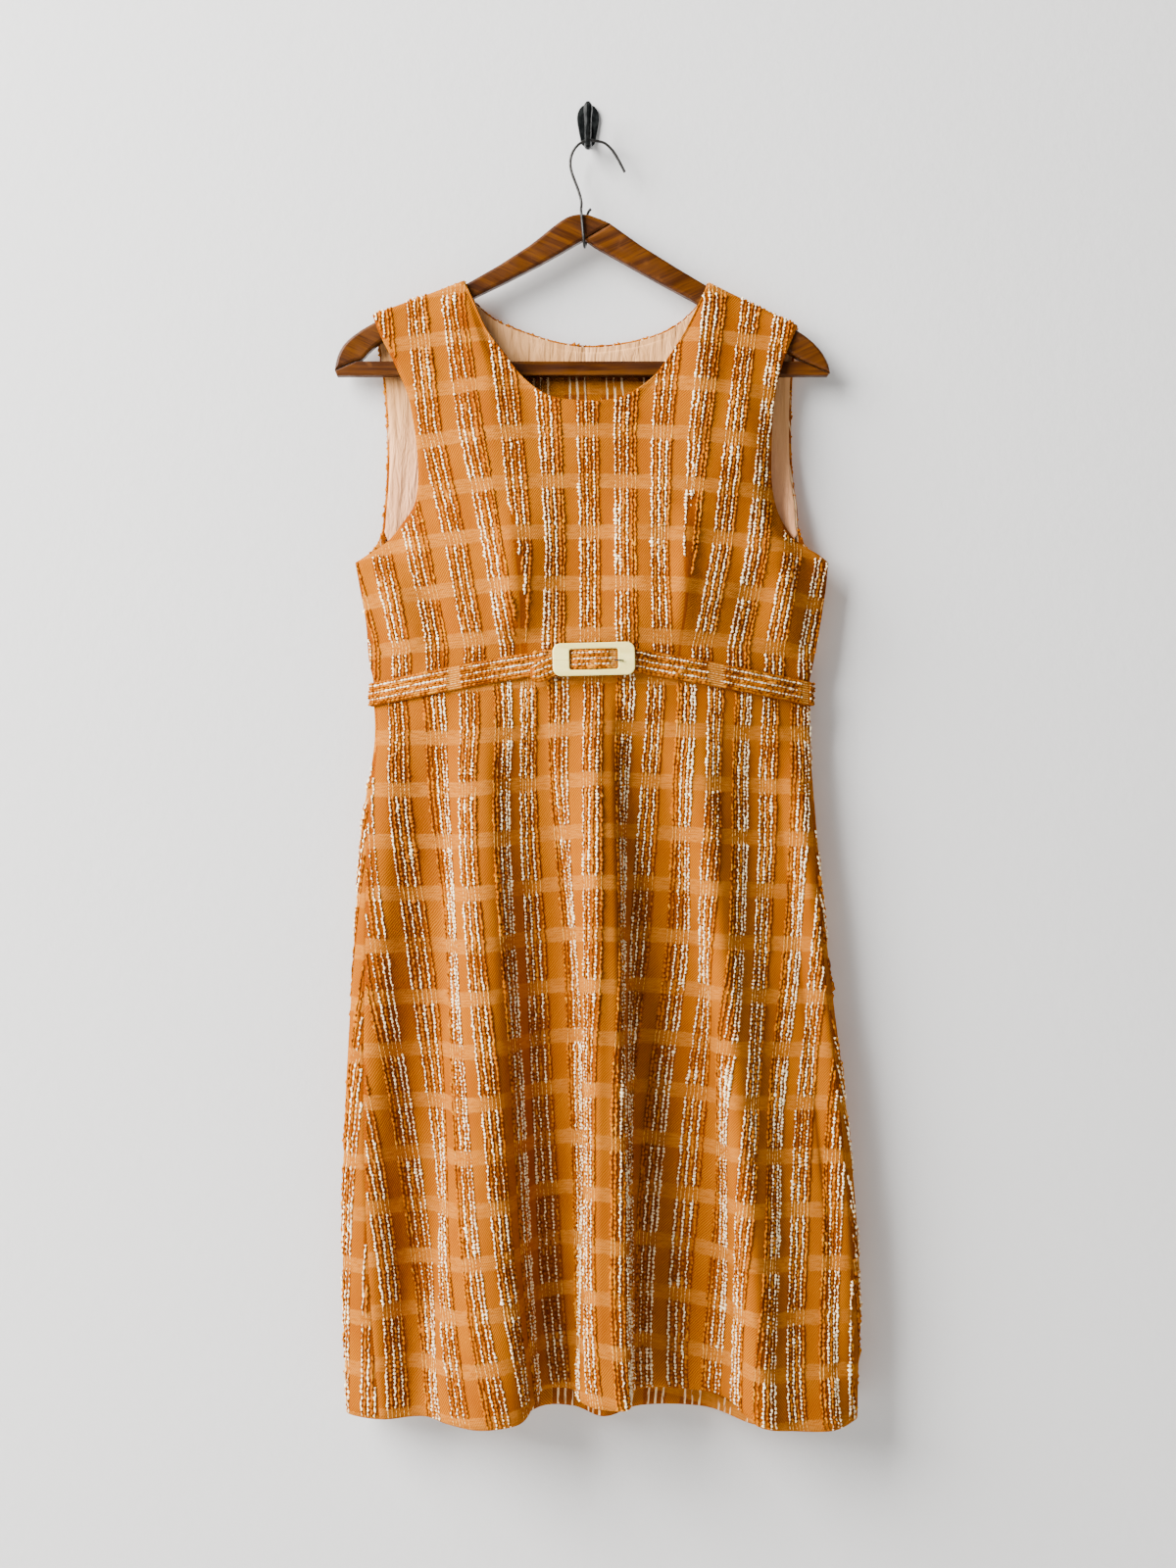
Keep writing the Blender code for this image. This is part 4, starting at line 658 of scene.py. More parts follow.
class Bodice:
    """One side of the bodice as a surface: place across from 0 to 1, and height row."""

    def __init__(self, left, right, neckline, depths, waist_line, waist_rise, tucks):
        self.left, self.right, self.depths, self.tucks = left, right, depths, tucks
        self.waist_rise = waist_rise
        self.waist = waist_line[np.argsort(waist_line[:, 0])]
        self.top = top_line(neckline)
        width = SHOULDER_RIGHT.x - SHOULDER_LEFT.x
        self.columns = (self.top[:, 0] - SHOULDER_LEFT.x) / width

    def depth(self, f, height):
        rows = np.array([glide(ACROSS, row.y, f) for row in self.depths])
        return glide([row.height for row in self.depths], rows, min(height, 2.0))

    def row(self, f, height):
        if height <= 1:
            side_z = WAIST_Z + (UNDERARM_Z - WAIST_Z) * height
            x = (1 - f) * edge_x(LEFT_SIDE, side_z) + f * edge_x(RIGHT_SIDE, side_z)
            x_low = (1 - f) * self.waist[0, 0] + f * self.waist[-1, 0]
            y_low = np.interp(x_low, self.waist[:, 0], self.waist[:, 1])
            z_low = waist_z(x_low, self.waist_rise)
            x = x + (x_low - (1 - f) * LEFT_SIDE[0].x - f * RIGHT_SIDE[0].x) * (1 - height)
            z = z_low + (UNDERARM_Z - z_low) * height
            fade = ease((height - UNDER_BELT) / ABOVE_BELT)
            y = self.depth(f, height) * fade + y_low * (1 - fade)
        else:
            top_x = SHOULDER_LEFT.x + f * (SHOULDER_RIGHT.x - SHOULDER_LEFT.x)
            top_z = np.interp(top_x, self.top[:, 0], self.top[:, 1])
            ends = [self.rise(end.z, height) for end in (SHOULDER_LEFT, SHOULDER_RIGHT)]
            x = (1 - f) * edge_x(self.left, ends[0]) + f * edge_x(self.right, ends[1])
            z = self.rise(top_z, height)
            y = self.depth(f, height)
            fade = 1.0
        if self.tucks:
            y = y - fade * tuck_rise(x, z) * ease(np.minimum(f, 1 - f) / TUCK_EDGE)
        return np.column_stack([x, over_the_arm(x, y, z), z])

    def rise(self, top_z, height):
        """A height row above the underarm, in a column that ends at top_z."""
        if height <= 2:
            return UNDERARM_Z + (top_z - WRAP - UNDERARM_Z) * (height - 1)
        return top_z - WRAP * (3 - height) ** 2

    def grid(self, columns):
        return np.array([self.row(columns, height) for height in BODICE_ROWS])


# ---------------------------------------------------------------------------- creases

def along_creases(creases, x, z):
    """How far the creases lift a surface at points: over 0 for a ridge, under 0 for a trough."""
    total = np.zeros_like(x)
    for crease in creases:
        path = np.array(crease.path, float)
        best = np.full(x.shape, 1e9)
        place = np.zeros_like(x)
        pieces = len(path) - 1
        for i in range(pieces):
            step = path[i + 1] - path[i]
            off_x, off_z = x - path[i, 0], z - path[i, 1]
            s = np.clip((off_x * step[0] + off_z * step[1]) / (step @ step), 0.0, 1.0)
            side = off_x * step[1] - off_z * step[0]
            away = np.hypot(off_x - s * step[0], off_z - s * step[1])
            nearer = away < np.abs(best)
            best = np.where(nearer, np.where(side < 0, -away, away), best)
            place = np.where(nearer, (i + s) / pieces, place)
        width = np.where(best < 0, crease.width * crease.lean, crease.width)
        fade = np.clip(np.sin(np.pi * place), 0.0, 1.0) ** CREASE_ENDS
        total += crease.rise * fade * np.exp(-(best / width) ** 2)
    return total


def lay_creases(grid, normals, creases, fade, edge):
    """Lift a grid by creases, which fade out over its outermost columns."""
    rise = along_creases(creases, grid[..., 0], grid[..., 2]) * fade
    columns = np.arange(grid.shape[1])
    grid += normals * (rise * ease(np.minimum(columns, columns[::-1]) / edge))[..., None]


# ---------------------------------------------------------------------------- cloth panels

Cloth = namedtuple("Cloth", "name grid normals across along")


def run_length(points, axis):
    """Millimetres run along one axis of a grid of points, from its first row or column."""
    steps = np.linalg.norm(np.diff(points, axis=axis), axis=2)
    pad = [(0, 0), (0, 0)]
    pad[axis] = (1, 0)
    return np.pad(np.cumsum(steps, axis=axis), pad)


def draw_in(panel, normals):
    """Draw a panel's two side edges in by half the gap between pieces, measured square to them."""
    for edge, inside in ((0, 1), (-1, -2)):
        step = unit(panel[:, inside] - panel[:, edge])
        lean = np.sum(step * normals[:, edge], axis=1, keepdims=True)
        panel[:, edge] += step * (GAP / 2) / np.sqrt(np.maximum(1 - lean ** 2, 0.1))


def round_normals(grid):
    """Unit normals of a grid whose last column is its first one again."""
    normals = outward(grid)
    normals[:, 0] = normals[:, -1] = unit(normals[:, 0] + normals[:, -1])
    return normals


def spread(groups, places, where):
    """The cloth's own place across, in millimetres, at places measured in the hung dress."""
    return np.interp(where, places, np.array(groups) * REPEAT)


def skirt_panels():
    """The skirt's front and the two halves of its back, and the waist seam's line."""
    levels = np.linspace(1, 0, SKIRT_ROWS + 1)
    grid = np.array([skirt_line(t, SKIRT_STEPS) for t in levels])
    grid = np.concatenate([grid, grid[:, :1]], axis=1)
    waist = grid[-1].copy()
    normals = round_normals(grid)
    last_front = (len(FRONT_FOLDS) - 1) * SKIRT_STEPS
    centre_back = (len(FRONT_FOLDS) + CENTRE_BACK) * SKIRT_STEPS
    fade = ease((levels - SKIRT_FADE[0]) / SKIRT_FADE[1])[:, None]
    for part, creases in ((slice(0, last_front + 1), SKIRT_CREASES),
                          (slice(last_front, None), BACK_SKIRT_CREASES)):
        lay_creases(grid[:, part], normals[:, part], creases, fade, SKIRT_EDGE)
    normals = round_normals(grid)
    grid[-1, :, 2] -= WAIST_GAP / 2
    panels = []
    for name, first, last in (("front_skirt", 0, last_front),
                              ("back_skirt_right", last_front, centre_back),
                              ("back_skirt_left", centre_back, grid.shape[1] - 1)):
        panel, out = grid[:, first:last + 1].copy(), normals[:, first:last + 1]
        draw_in(panel, out)
        run = run_length(panel, 1)
        across = skirt_chart(levels, run) if name == "front_skirt" else back_chart(name, run)
        panels.append(Cloth(name, panel, out, across, skirt_bands(panel, name)))
    return panels, waist[:last_front + 1], waist[last_front:]


def back_chart(name, run):
    """Place across for every point of half a back, counted from the centre back seam."""
    return (run - run[:, -1:] if name.endswith("right") else run) - BACK_OFFSET


def skirt_chart(levels, run):
    """Place across for every point of the skirt's front, from its chart."""
    chart = np.array([np.array(row.places) / row.length for row in SKIRT_CHART])
    known = [row.level for row in SKIRT_CHART]
    across = np.empty_like(run)
    for r, t in enumerate(levels):
        across[r] = spread(SKIRT_GROUPS, glide(known, chart, t) * run[r, -1], run[r])
    return across


def skirt_bands(panel, name):
    """Place along the warp for every point of a skirt panel: 0 at the first peach band."""
    x, z = panel[..., 0], panel[..., 2]
    first, step = (np.interp(x, SKIRT_BAND_PLACES, column) for column in zip(*SKIRT_BANDS))
    if name != "front_skirt":
        first = first + BACK_WAVE * np.cos(x / BACK_WAVE_RUN)
    return (z - first) / step * BAND_STEP


def bodice_chart(panel):
    """Place across for every point of the bodice's front, from its chart."""
    x, z = panel[..., 0].ravel(), panel[..., 2].ravel()
    heights = [row.level for row in BODICE_CHART]
    rows = np.array([spread(BODICE_GROUPS, row.places, x) for row in BODICE_CHART])
    place = np.clip(np.interp(z, heights, range(len(heights))), 0, len(heights) - 1.001)
    low = place.astype(int)
    share = place - low
    number = np.arange(len(x))
    across = rows[low, number] * (1 - share) + rows[low + 1, number] * share
    for ends in DARTS:
        left, right = (np.interp(z, heights, [row.places[BODICE_GROUPS.index(end)]
                                              for row in BODICE_CHART]) for end in ends)
        taken_in = (left < x) & (x < right) & (right - left < (ends[1] - ends[0]) * REPEAT)
        across = np.where(taken_in & (x < (left + right) / 2), ends[0] * REPEAT + x - left, across)
        across = np.where(taken_in & (x >= (left + right) / 2), ends[1] * REPEAT + x - right,
                          across)
    return across.reshape(panel.shape[:2])


def bodice_bands(panel):
    """Place along the warp for every point of a bodice panel."""
    first, step, sag = BODICE_BAND
    low = sag * (panel[..., 0] / BAND_SAG_AT) ** 2
    return (panel[..., 2] - first + low) / step * BAND_STEP


def bodice_panels(front_waist, back_waist):
    """The bodice's front, the two halves of its back, and their facings."""
    front = Bodice(FRONT_LEFT_ARMHOLE, FRONT_RIGHT_ARMHOLE, FRONT_NECKLINE, FRONT_DEPTHS,
                   front_waist, WAIST_RISE, True)
    back = Bodice(BACK_LEFT_ARMHOLE, BACK_RIGHT_ARMHOLE, BACK_NECKLINE, BACK_DEPTHS,
                  back_waist, WAIST_RISE_BACK, False)
    front_grid, back_grid = front.grid(front.columns), back.grid(back.columns[::-1])
    heights = BODICE_ROWS[:, None]
    fade = (ease((heights - BODICE_FADE_LOW[0]) / BODICE_FADE_LOW[1])
            * ease((BODICE_FADE_HIGH[0] - heights) / BODICE_FADE_HIGH[1]))
    for grid, creases in ((front_grid, BODICE_CREASES), (back_grid, BACK_BODICE_CREASES)):
        lay_creases(grid, outward(grid), creases, fade, BODICE_EDGE)
    front_normals, back_normals = outward(front_grid), outward(back_grid)
    below = BODICE_ROWS <= 1
    for front_column, back_column in ((0, -1), (-1, 0)):
        shared = unit(front_normals[below, front_column] + back_normals[below, back_column])
        front_normals[below, front_column] = back_normals[below, back_column] = shared
        edge = (front_grid[below, front_column] + back_grid[below, back_column]) / 2
        front_grid[below, front_column] = back_grid[below, back_column] = edge
    straps = (slice(0, STRAP_COLUMNS + 1), slice(-STRAP_COLUMNS - 1, None))
    for grid, normals in ((front_grid, front_normals), (back_grid, back_normals)):
        normals[0, :, 2] = 0.0      # level, so that it meets the skirt square
        normals[0] = unit(normals[0])
        grid[0, :, 2] += WAIST_GAP / 2
        for columns in straps:
            line = normals[-1, columns]
            line[:, 1] = 0.0
            line /= np.linalg.norm(line, axis=1, keepdims=True)
            towards = np.sign(grid[-2, columns, 1] - grid[-1, columns, 1])
            grid[-1, columns, 1] += towards * GAP / 2
    draw_in(front_grid, front_normals)
    panels = [Cloth("front_bodice", front_grid, front_normals, bodice_chart(front_grid),
                    bodice_bands(front_grid))]
    middle = back_grid.shape[1] // 2
    facings = []
    for side, columns, edge in (("right", slice(0, middle + 1), 0),
                                ("left", slice(middle, None), -1)):
        panel, out = back_grid[:, columns].copy(), back_normals[:, columns]
        facings.append(facing("back_facing_" + side, panel.copy(), out, edge))
        draw_in(panel, out)
        panels.append(Cloth("back_bodice_" + side, panel, out,
                            back_chart(side, run_length(panel, 1)), bodice_bands(panel)))
    return panels, facings


def facing(name, grid, normals, edge):
    """Half of the facing that lines the back's neckline and armhole, from the back's own points."""
    both = np.dstack([grid, normals])
    step = both[:, 1 if edge == 0 else -2] - both[:, edge]
    inset = np.where(BODICE_ROWS < FACING_SIDE_ROWS, FACING_SIDE_INSET, FACING_INSET)
    both[:, edge] += step * (inset / np.linalg.norm(step[:, :3], axis=1))[:, None]
    low_x, low_z = zip(*FACING_LOW)
    heights = np.linspace(*FACING_SPAN)
    columns = []
    for c in range(both.shape[1]):
        track = sample(heights, BODICE_ROWS, both[:, c])
        above = track[:, 2] > np.interp(np.abs(track[:, 0]), low_x, low_z)
        below = track[:, 2] < shoulder_z(track[:, 0]) - FACING_BELOW_SEAM
        covered = heights[above & below]
        rows = np.linspace(covered[0], covered[-1], FACING_ROWS)
        columns.append(sample(rows, BODICE_ROWS, both[:, c]))
    line = np.array(columns).transpose(1, 0, 2)
    out = unit(line[..., 3:6])
    share = np.linspace(0, 1, FACING_ROWS)[:, None]
    rise = along_creases(FACING_CREASES, line[..., 0], line[..., 2])
    loose = (FACING_LOOSE * (1 - ease(share / LOOSE_SHARE))
             + np.abs(rise) * ease((1 - share) / HELD_SHARE))
    middle = line[..., :3] - out * (CLOTH / 2 + FACING_EASE + loose + LINEN / 2)[..., None]
    draw_in(middle, out)
    return Cloth(name, middle, out, run_length(middle, 1), middle[..., 2])


def rim(points):
    """The points round the edge of a grid, the way its columns and rows run."""
    return np.concatenate([points[0, :-1], points[:-1, -1], points[-1, :0:-1], points[:0:-1, 0]])


def shell(cloth, thickness, face_finish, back_finish):
    """The closed thin shell of a panel, with a rounded rim and the cloth's own map on it."""
    grid, rows, cols = cloth.grid, *cloth.grid.shape[:2]
    outer, inner = (grid + cloth.normals * thickness * side for side in (0.5, -0.5))
    away = np.zeros_like(grid)
    for row, inside in ((0, 1), (-1, -2)):
        away[row] += unit(grid[row] - grid[inside])
        away[:, row] += unit(grid[:, row] - grid[:, inside])
    edge = rim(grid + unit(away) * thickness * ROUND_RIM)
    points = np.vstack([outer.reshape(-1, 3), inner.reshape(-1, 3), edge]) * MM
    number = np.arange(rows * cols).reshape(rows, cols)
    quads = np.stack([number[:-1, :-1], number[:-1, 1:], number[1:, 1:], number[1:, :-1]],
                     axis=-1).reshape(-1, 4)
    out, back = rim(number), rim(number) + rows * cols
    middle = np.arange(len(out)) + 2 * rows * cols
    faces = np.vstack([quads, quads[:, ::-1] + rows * cols,
                       np.column_stack([np.roll(out, -1), out, middle, np.roll(middle, -1)]),
                       np.column_stack([np.roll(middle, -1), middle, back, np.roll(back, -1)])])
    mesh = bpy.data.meshes.new(cloth.name)
    mesh.from_pydata(points.tolist(), [], faces.tolist())
    chart = np.dstack([cloth.across, cloth.along]).reshape(-1, 2)
    chart = np.vstack([chart, chart, rim(np.dstack([cloth.across, cloth.along]))]) * MM + 1.0
    layer = mesh.uv_layers.new(name="cloth")
    corners = np.empty(len(mesh.loops), int)
    mesh.loops.foreach_get("vertex_index", corners)
    layer.data.foreach_set("uv", chart[corners].ravel())
    mesh.materials.append(face_finish)
    mesh.materials.append(back_finish)
    which = np.zeros(len(faces), int)
    which[len(quads):2 * len(quads)] = 1
    mesh.polygons.foreach_set("material_index", which)
    mesh.shade_smooth()
    return mesh


# ---------------------------------------------------------------------------- thick yarns

def uneven(length, step, chance):
    """Places along a length, about a step apart and no two steps alike."""
    count = max(int(length / step), 2)
    places = np.concatenate([[0.0], np.cumsum(chance.uniform(*UNEVEN, count))])
    return places / places[-1] * length


def yarn_lines(cloth, groups, colour, spacing, stand, pressed, chance, base=YARN_BASE):
    """Points, edges, girth and tone of the thick yarns of one colour on a cloth.

    They run along the cloth's rows.  A yarn is thin where it dives under a band or is pressed
    flat, and gone where a dart takes it in.
    """
    crowding = np.abs(np.gradient(cloth.across, axis=1)) / np.maximum(
        np.linalg.norm(np.gradient(cloth.grid, axis=1), axis=2), 1e-6)
    both = np.dstack([cloth.grid, cloth.normals, cloth.along, crowding])
    low, high = cloth.across.min(axis=1), cloth.across.max(axis=1)
    points, edges, girths, tones = [], [], [], []
    count = 0
    for k in range(math.floor(low.min() / REPEAT) - 1, math.ceil(high.max() / REPEAT) + 2):
        mirror = -1 if k % 2 and "skirt" in cloth.name else 1
        for place in getattr(groups[k % 2], colour):
            here = k * REPEAT + place * mirror
            rows = np.flatnonzero((low + YARN_INSET < here) & (here < high - YARN_INSET))
            for part in np.split(rows, np.flatnonzero(np.diff(rows) > 1) + 1):
                if len(part) < 3:
                    continue
                line = np.array([[np.interp(here, cloth.across[r], both[r, :, i])
                                  for i in range(both.shape[2])] for r in part])
                run = line_run(line[:, :3])
                if run[-1] < SHORTEST:
                    continue
                marks = YARN_END + uneven(run[-1] - 2 * YARN_END, spacing, chance)
                line = sample(marks, run, line)
                band = line[:, 6] / BAND_STEP
                dives = (np.round(band) + k) % 2 == 0
                from_band = np.abs(band - np.round(band)) * BAND_STEP
                half = BAND_HALF + chance.uniform(-BAND_RAGGED, BAND_RAGGED)
                hidden = ease((half - from_band) / BAND_FADE) * dives
                flat = pressed(line)
                gone = ease((line[:, 7] - CROWDED) / CROWDED_FADE)
                girth = (1 - THIN_IN_BAND * hidden) * (1 - gone) + LEAST_GIRTH
                proud = stand * (1 - SUNK_IN_BAND * np.maximum(hidden, flat)) * (1 - gone)
                out = base * (1 - 2 * gone) + proud
                points.append(line[:, :3] + unit(line[:, 3:6]) * out[:, None])
                number = np.arange(len(marks)) + count
                edges.append(np.column_stack([number[:-1], number[1:]]))
                girths.append(girth * (1 - THIN_PRESSED * flat))
                tones.append(hidden)
                count += len(marks)
    return np.vstack(points) * MM, np.vstack(edges), np.concatenate(girths), np.concatenate(tones)


def edge_nubs(cloth, arm_column, chance):
    """Points, edges, girth and tone of the knobbly yarn that shows along a back half's edges."""
    neck = slice(0, -STRAP_COLUMNS) if arm_column else slice(STRAP_COLUMNS, None)
    points, edges, girths = [], [], []
    for line, out in ((cloth.grid[-1, neck], cloth.normals[-1, neck]),
                      (cloth.grid[BODICE_ROWS > NUB_ROWS, arm_column],
                       cloth.normals[BODICE_ROWS > NUB_ROWS, arm_column])):
        run = line_run(line)
        marks = uneven(run[-1], NUB_SPACING, chance)
        line = sample(marks, run, line + out * NUB_STAND)
        number = np.arange(len(marks)) + sum(map(len, points))
        edges.append(np.column_stack([number[:-1], number[1:]]))
        points.append(line)
        girths.append(np.where(chance.random(len(marks)) < NUB_SHARE,
                               chance.uniform(*NUB_GIRTH, len(marks)), NUB_THIN))
    girths = np.concatenate(girths)
    return np.vstack(points) * MM, np.vstack(edges), girths, np.zeros(len(girths))


def wire_up(tree, kind, values=(), **settings):
    """Add a node; values go to its inputs in turn, or by name from a dict, linked or set."""
    node = tree.nodes.new(kind)
    for key, value in settings.items():
        setattr(node, key, value)
    pairs = values.items() if isinstance(values, dict) else enumerate(values)
    for key, value in pairs:
        if isinstance(value, bpy.types.NodeSocket):
            tree.links.new(value, node.inputs[key])
        else:
            node.inputs[key].default_value = value
    return node


def by_name(sockets, identifier):
    """The one socket with that identifier."""
    return next(socket for socket in sockets if socket.identifier == identifier)


def yarn_tree():
    """Geometry Nodes that spin a knobbly yarn along each line, beaded as boucle is."""
    tree = bpy.data.node_groups.new("Boucle yarn", "GeometryNodeTree")
    for name, kind in (("Lines", "Geometry"), ("Yarn radius", "Float"), ("Bead depth", "Float"),
                       ("Wander", "Float"), ("Slub", "Float"), ("Seed", "Int"),
                       ("Finish", "Material")):
        tree.interface.new_socket(name, in_out="INPUT", socket_type="NodeSocket" + kind)
    tree.interface.new_socket("Yarn", in_out="OUTPUT", socket_type="NodeSocketGeometry")
    given = tree.nodes.new("NodeGroupInput").outputs

    def add(kind, values=(), **settings):
        return wire_up(tree, kind, values, **settings).outputs[0]

    def maths(operation, *values):
        return add("ShaderNodeMath", values, operation=operation)

    def product(first, *others):
        for value in others:
            first = maths("MULTIPLY", first, value)
        return first

    def lumpy(place, scale, detail, *span):
        """Noise through the cloth, with a span of it stretched to go from one value to another."""
        noise = add("ShaderNodeTexNoise", {"Vector": place, "Scale": scale, "Detail": detail})
        return add("ShaderNodeMapRange", [noise, *span])

    def chance(kind, low, high, step):
        """A different value at every bead, from low to high."""
        node = wire_up(tree, "FunctionNodeRandomValue", data_type=kind)
        end = "_001" if kind == "FLOAT" else ""
        by_name(node.inputs, "Min" + end).default_value = low
        by_name(node.inputs, "Max" + end).default_value = high
        tree.links.new(maths("ADD", given["Seed"], step), by_name(node.inputs, "Seed"))
        return by_name(node.outputs, "Value" + end)

    curve = add("GeometryNodeMeshToCurve", [given["Lines"]])
    girth = add("GeometryNodeInputNamedAttribute", {"Name": "girth"}, data_type="FLOAT")
    odd = maths("FLOORED_MODULO", add("GeometryNodeInputIndex"), 2.0)
    bead = maths("MULTIPLY_ADD", maths("MULTIPLY_ADD", odd, 2.0, -1.0), given["Bead depth"], 1.0)
    place = add("GeometryNodeInputPosition")
    thick = lumpy(place, *SWELLING)
    slub = maths("MULTIPLY_ADD", thick, given["Slub"], 1.0)
    thin = lumpy(place, *THINNING)
    fluff = product(bead, thin, chance("FLOAT", *BEAD_SIZE, 1.0))
    radius = product(product(girth, given["Yarn radius"]), product(fluff, slub))
    shift = chance("FLOAT_VECTOR", tuple(-v for v in BEAD_SHIFT), BEAD_SHIFT, 7.0)
    offset = add("ShaderNodeVectorMath",
                 {"Vector": shift, "Scale": product(given["Wander"], girth)}, operation="SCALE")
    moved = add("GeometryNodeSetPosition", {"Geometry": curve, "Offset": offset})
    marked = add("GeometryNodeStoreNamedAttribute",
                 {"Geometry": moved, "Name": "bead", "Value": fluff},
                 data_type="FLOAT", domain="POINT")
    ring = add("GeometryNodeCurvePrimitiveCircle", {"Resolution": RING_POINTS, "Radius": 1.0})
    body = add("GeometryNodeCurveToMesh", {"Curve": marked, "Profile Curve": ring,
                                           "Scale": radius, "Fill Caps": True})
    smooth = add("GeometryNodeSetShadeSmooth", {"Geometry": body})
    solid = add("GeometryNodeRealizeInstances", [smooth])
    done = add("GeometryNodeSetMaterial", {"Geometry": solid, "Material": given["Finish"]})
    tree.links.new(done, tree.nodes.new("NodeGroupOutput").inputs[0])
    return tree


def spin_yarn(name, tree, lines, spin, seed, finish):
    """A plain mesh of the yarns that the tree spins along the lines."""
    points, edges, girths, tones = lines
    mesh = bpy.data.meshes.new(name + "_lines")
    mesh.from_pydata(points.tolist(), edges.tolist(), [])
    for word, numbers in (("girth", girths), ("tone", tones)):
        mesh.attributes.new(word, "FLOAT", "POINT").data.foreach_set(
            "value", numbers.astype(np.float32))
    obj = stand_in_scene(name, mesh)
    modifier = obj.modifiers.new("yarn", "NODES")
    modifier.node_group = tree
    given = {"Yarn radius": spin.radius * MM, "Bead depth": spin.bead, "Wander": spin.wander * MM,
             "Slub": spin.slub, "Seed": seed, "Finish": finish}
    for item in tree.interface.items_tree:
        if item.item_type == "SOCKET" and item.in_out == "INPUT" and item.name in given:
            modifier[item.identifier] = given[item.name]
    graph = bpy.context.evaluated_depsgraph_get()
    made = bpy.data.meshes.new_from_object(obj.evaluated_get(graph))
    made.name = name
    obj.modifiers.remove(modifier)
    obj.data = made
    bpy.data.meshes.remove(mesh)
    return obj


# ---------------------------------------------------------------------------- finishes

def tint(colour):
    """A colour with the full opacity that a socket asks for."""
    return (*colour, 1.0)


class Finish:
    """A material while its nodes are being laid."""

    def __init__(self, name, **sockets):
        self.material = bpy.data.materials.new(name)
        self.material.use_nodes = True
        self.tree = self.material.node_tree
        self.shader = self.tree.nodes["Principled BSDF"]
        for key, value in sockets.items():
            self.shader.inputs[key.replace("_", " ")].default_value = value

    def add(self, kind, values=(), **settings):
        return wire_up(self.tree, "ShaderNode" + kind, values, **settings)

    def maths(self, operation, *values):
        return self.add("Math", values, operation=operation).outputs[0]

    def times(self, first, second):
        return self.maths("MULTIPLY", first, second)

    def scaled(self, vector, scale, turn=(0.0, 0.0, 0.0)):
        return self.add("Mapping", {"Vector": vector, "Scale": scale, "Rotation": turn}).outputs[0]

    def noise(self, vector, scale, detail, rough=0.5, bent=0.0):
        """Noise with one scale, or with a scale for each direction."""
        if isinstance(scale, tuple):
            vector, scale = self.scaled(vector, scale), 1.0
        return self.add("TexNoise", {"Vector": vector, "Scale": scale, "Detail": detail,
                                     "Roughness": rough, "Distortion": bent}).outputs[0]

    def ramp(self, value, low, high, first=0.0, last=1.0):
        return self.add("MapRange", [value, low, high, first, last],
                        interpolation_type="SMOOTHSTEP").outputs[0]

    def mix(self, share, first, second):
        """The first colour going over to the second; each is a plain colour or a socket."""
        first, second = (tint(end) if isinstance(end, tuple) else end for end in (first, second))
        return self.add("Mix", {0: share, 6: first, 7: second},
                        data_type="RGBA").outputs[2]

    def objects(self):
        return self.add("TexCoord").outputs["Object"]

    def paint(self, colour):
        self.tree.links.new(colour, self.shader.inputs["Base Color"])

    def dull(self, roughness):
        self.tree.links.new(roughness, self.shader.inputs["Roughness"])

    def emboss(self, height, strength, depth, under=None):
        """Raise the surface by a height map, in metres at full height."""
        values = {"Strength": strength, "Distance": depth, "Height": height}
        if under is not None:
            values["Normal"] = under
        normal = self.add("Bump", values).outputs[0]
        self.tree.links.new(normal, self.shader.inputs["Normal"])
        return normal


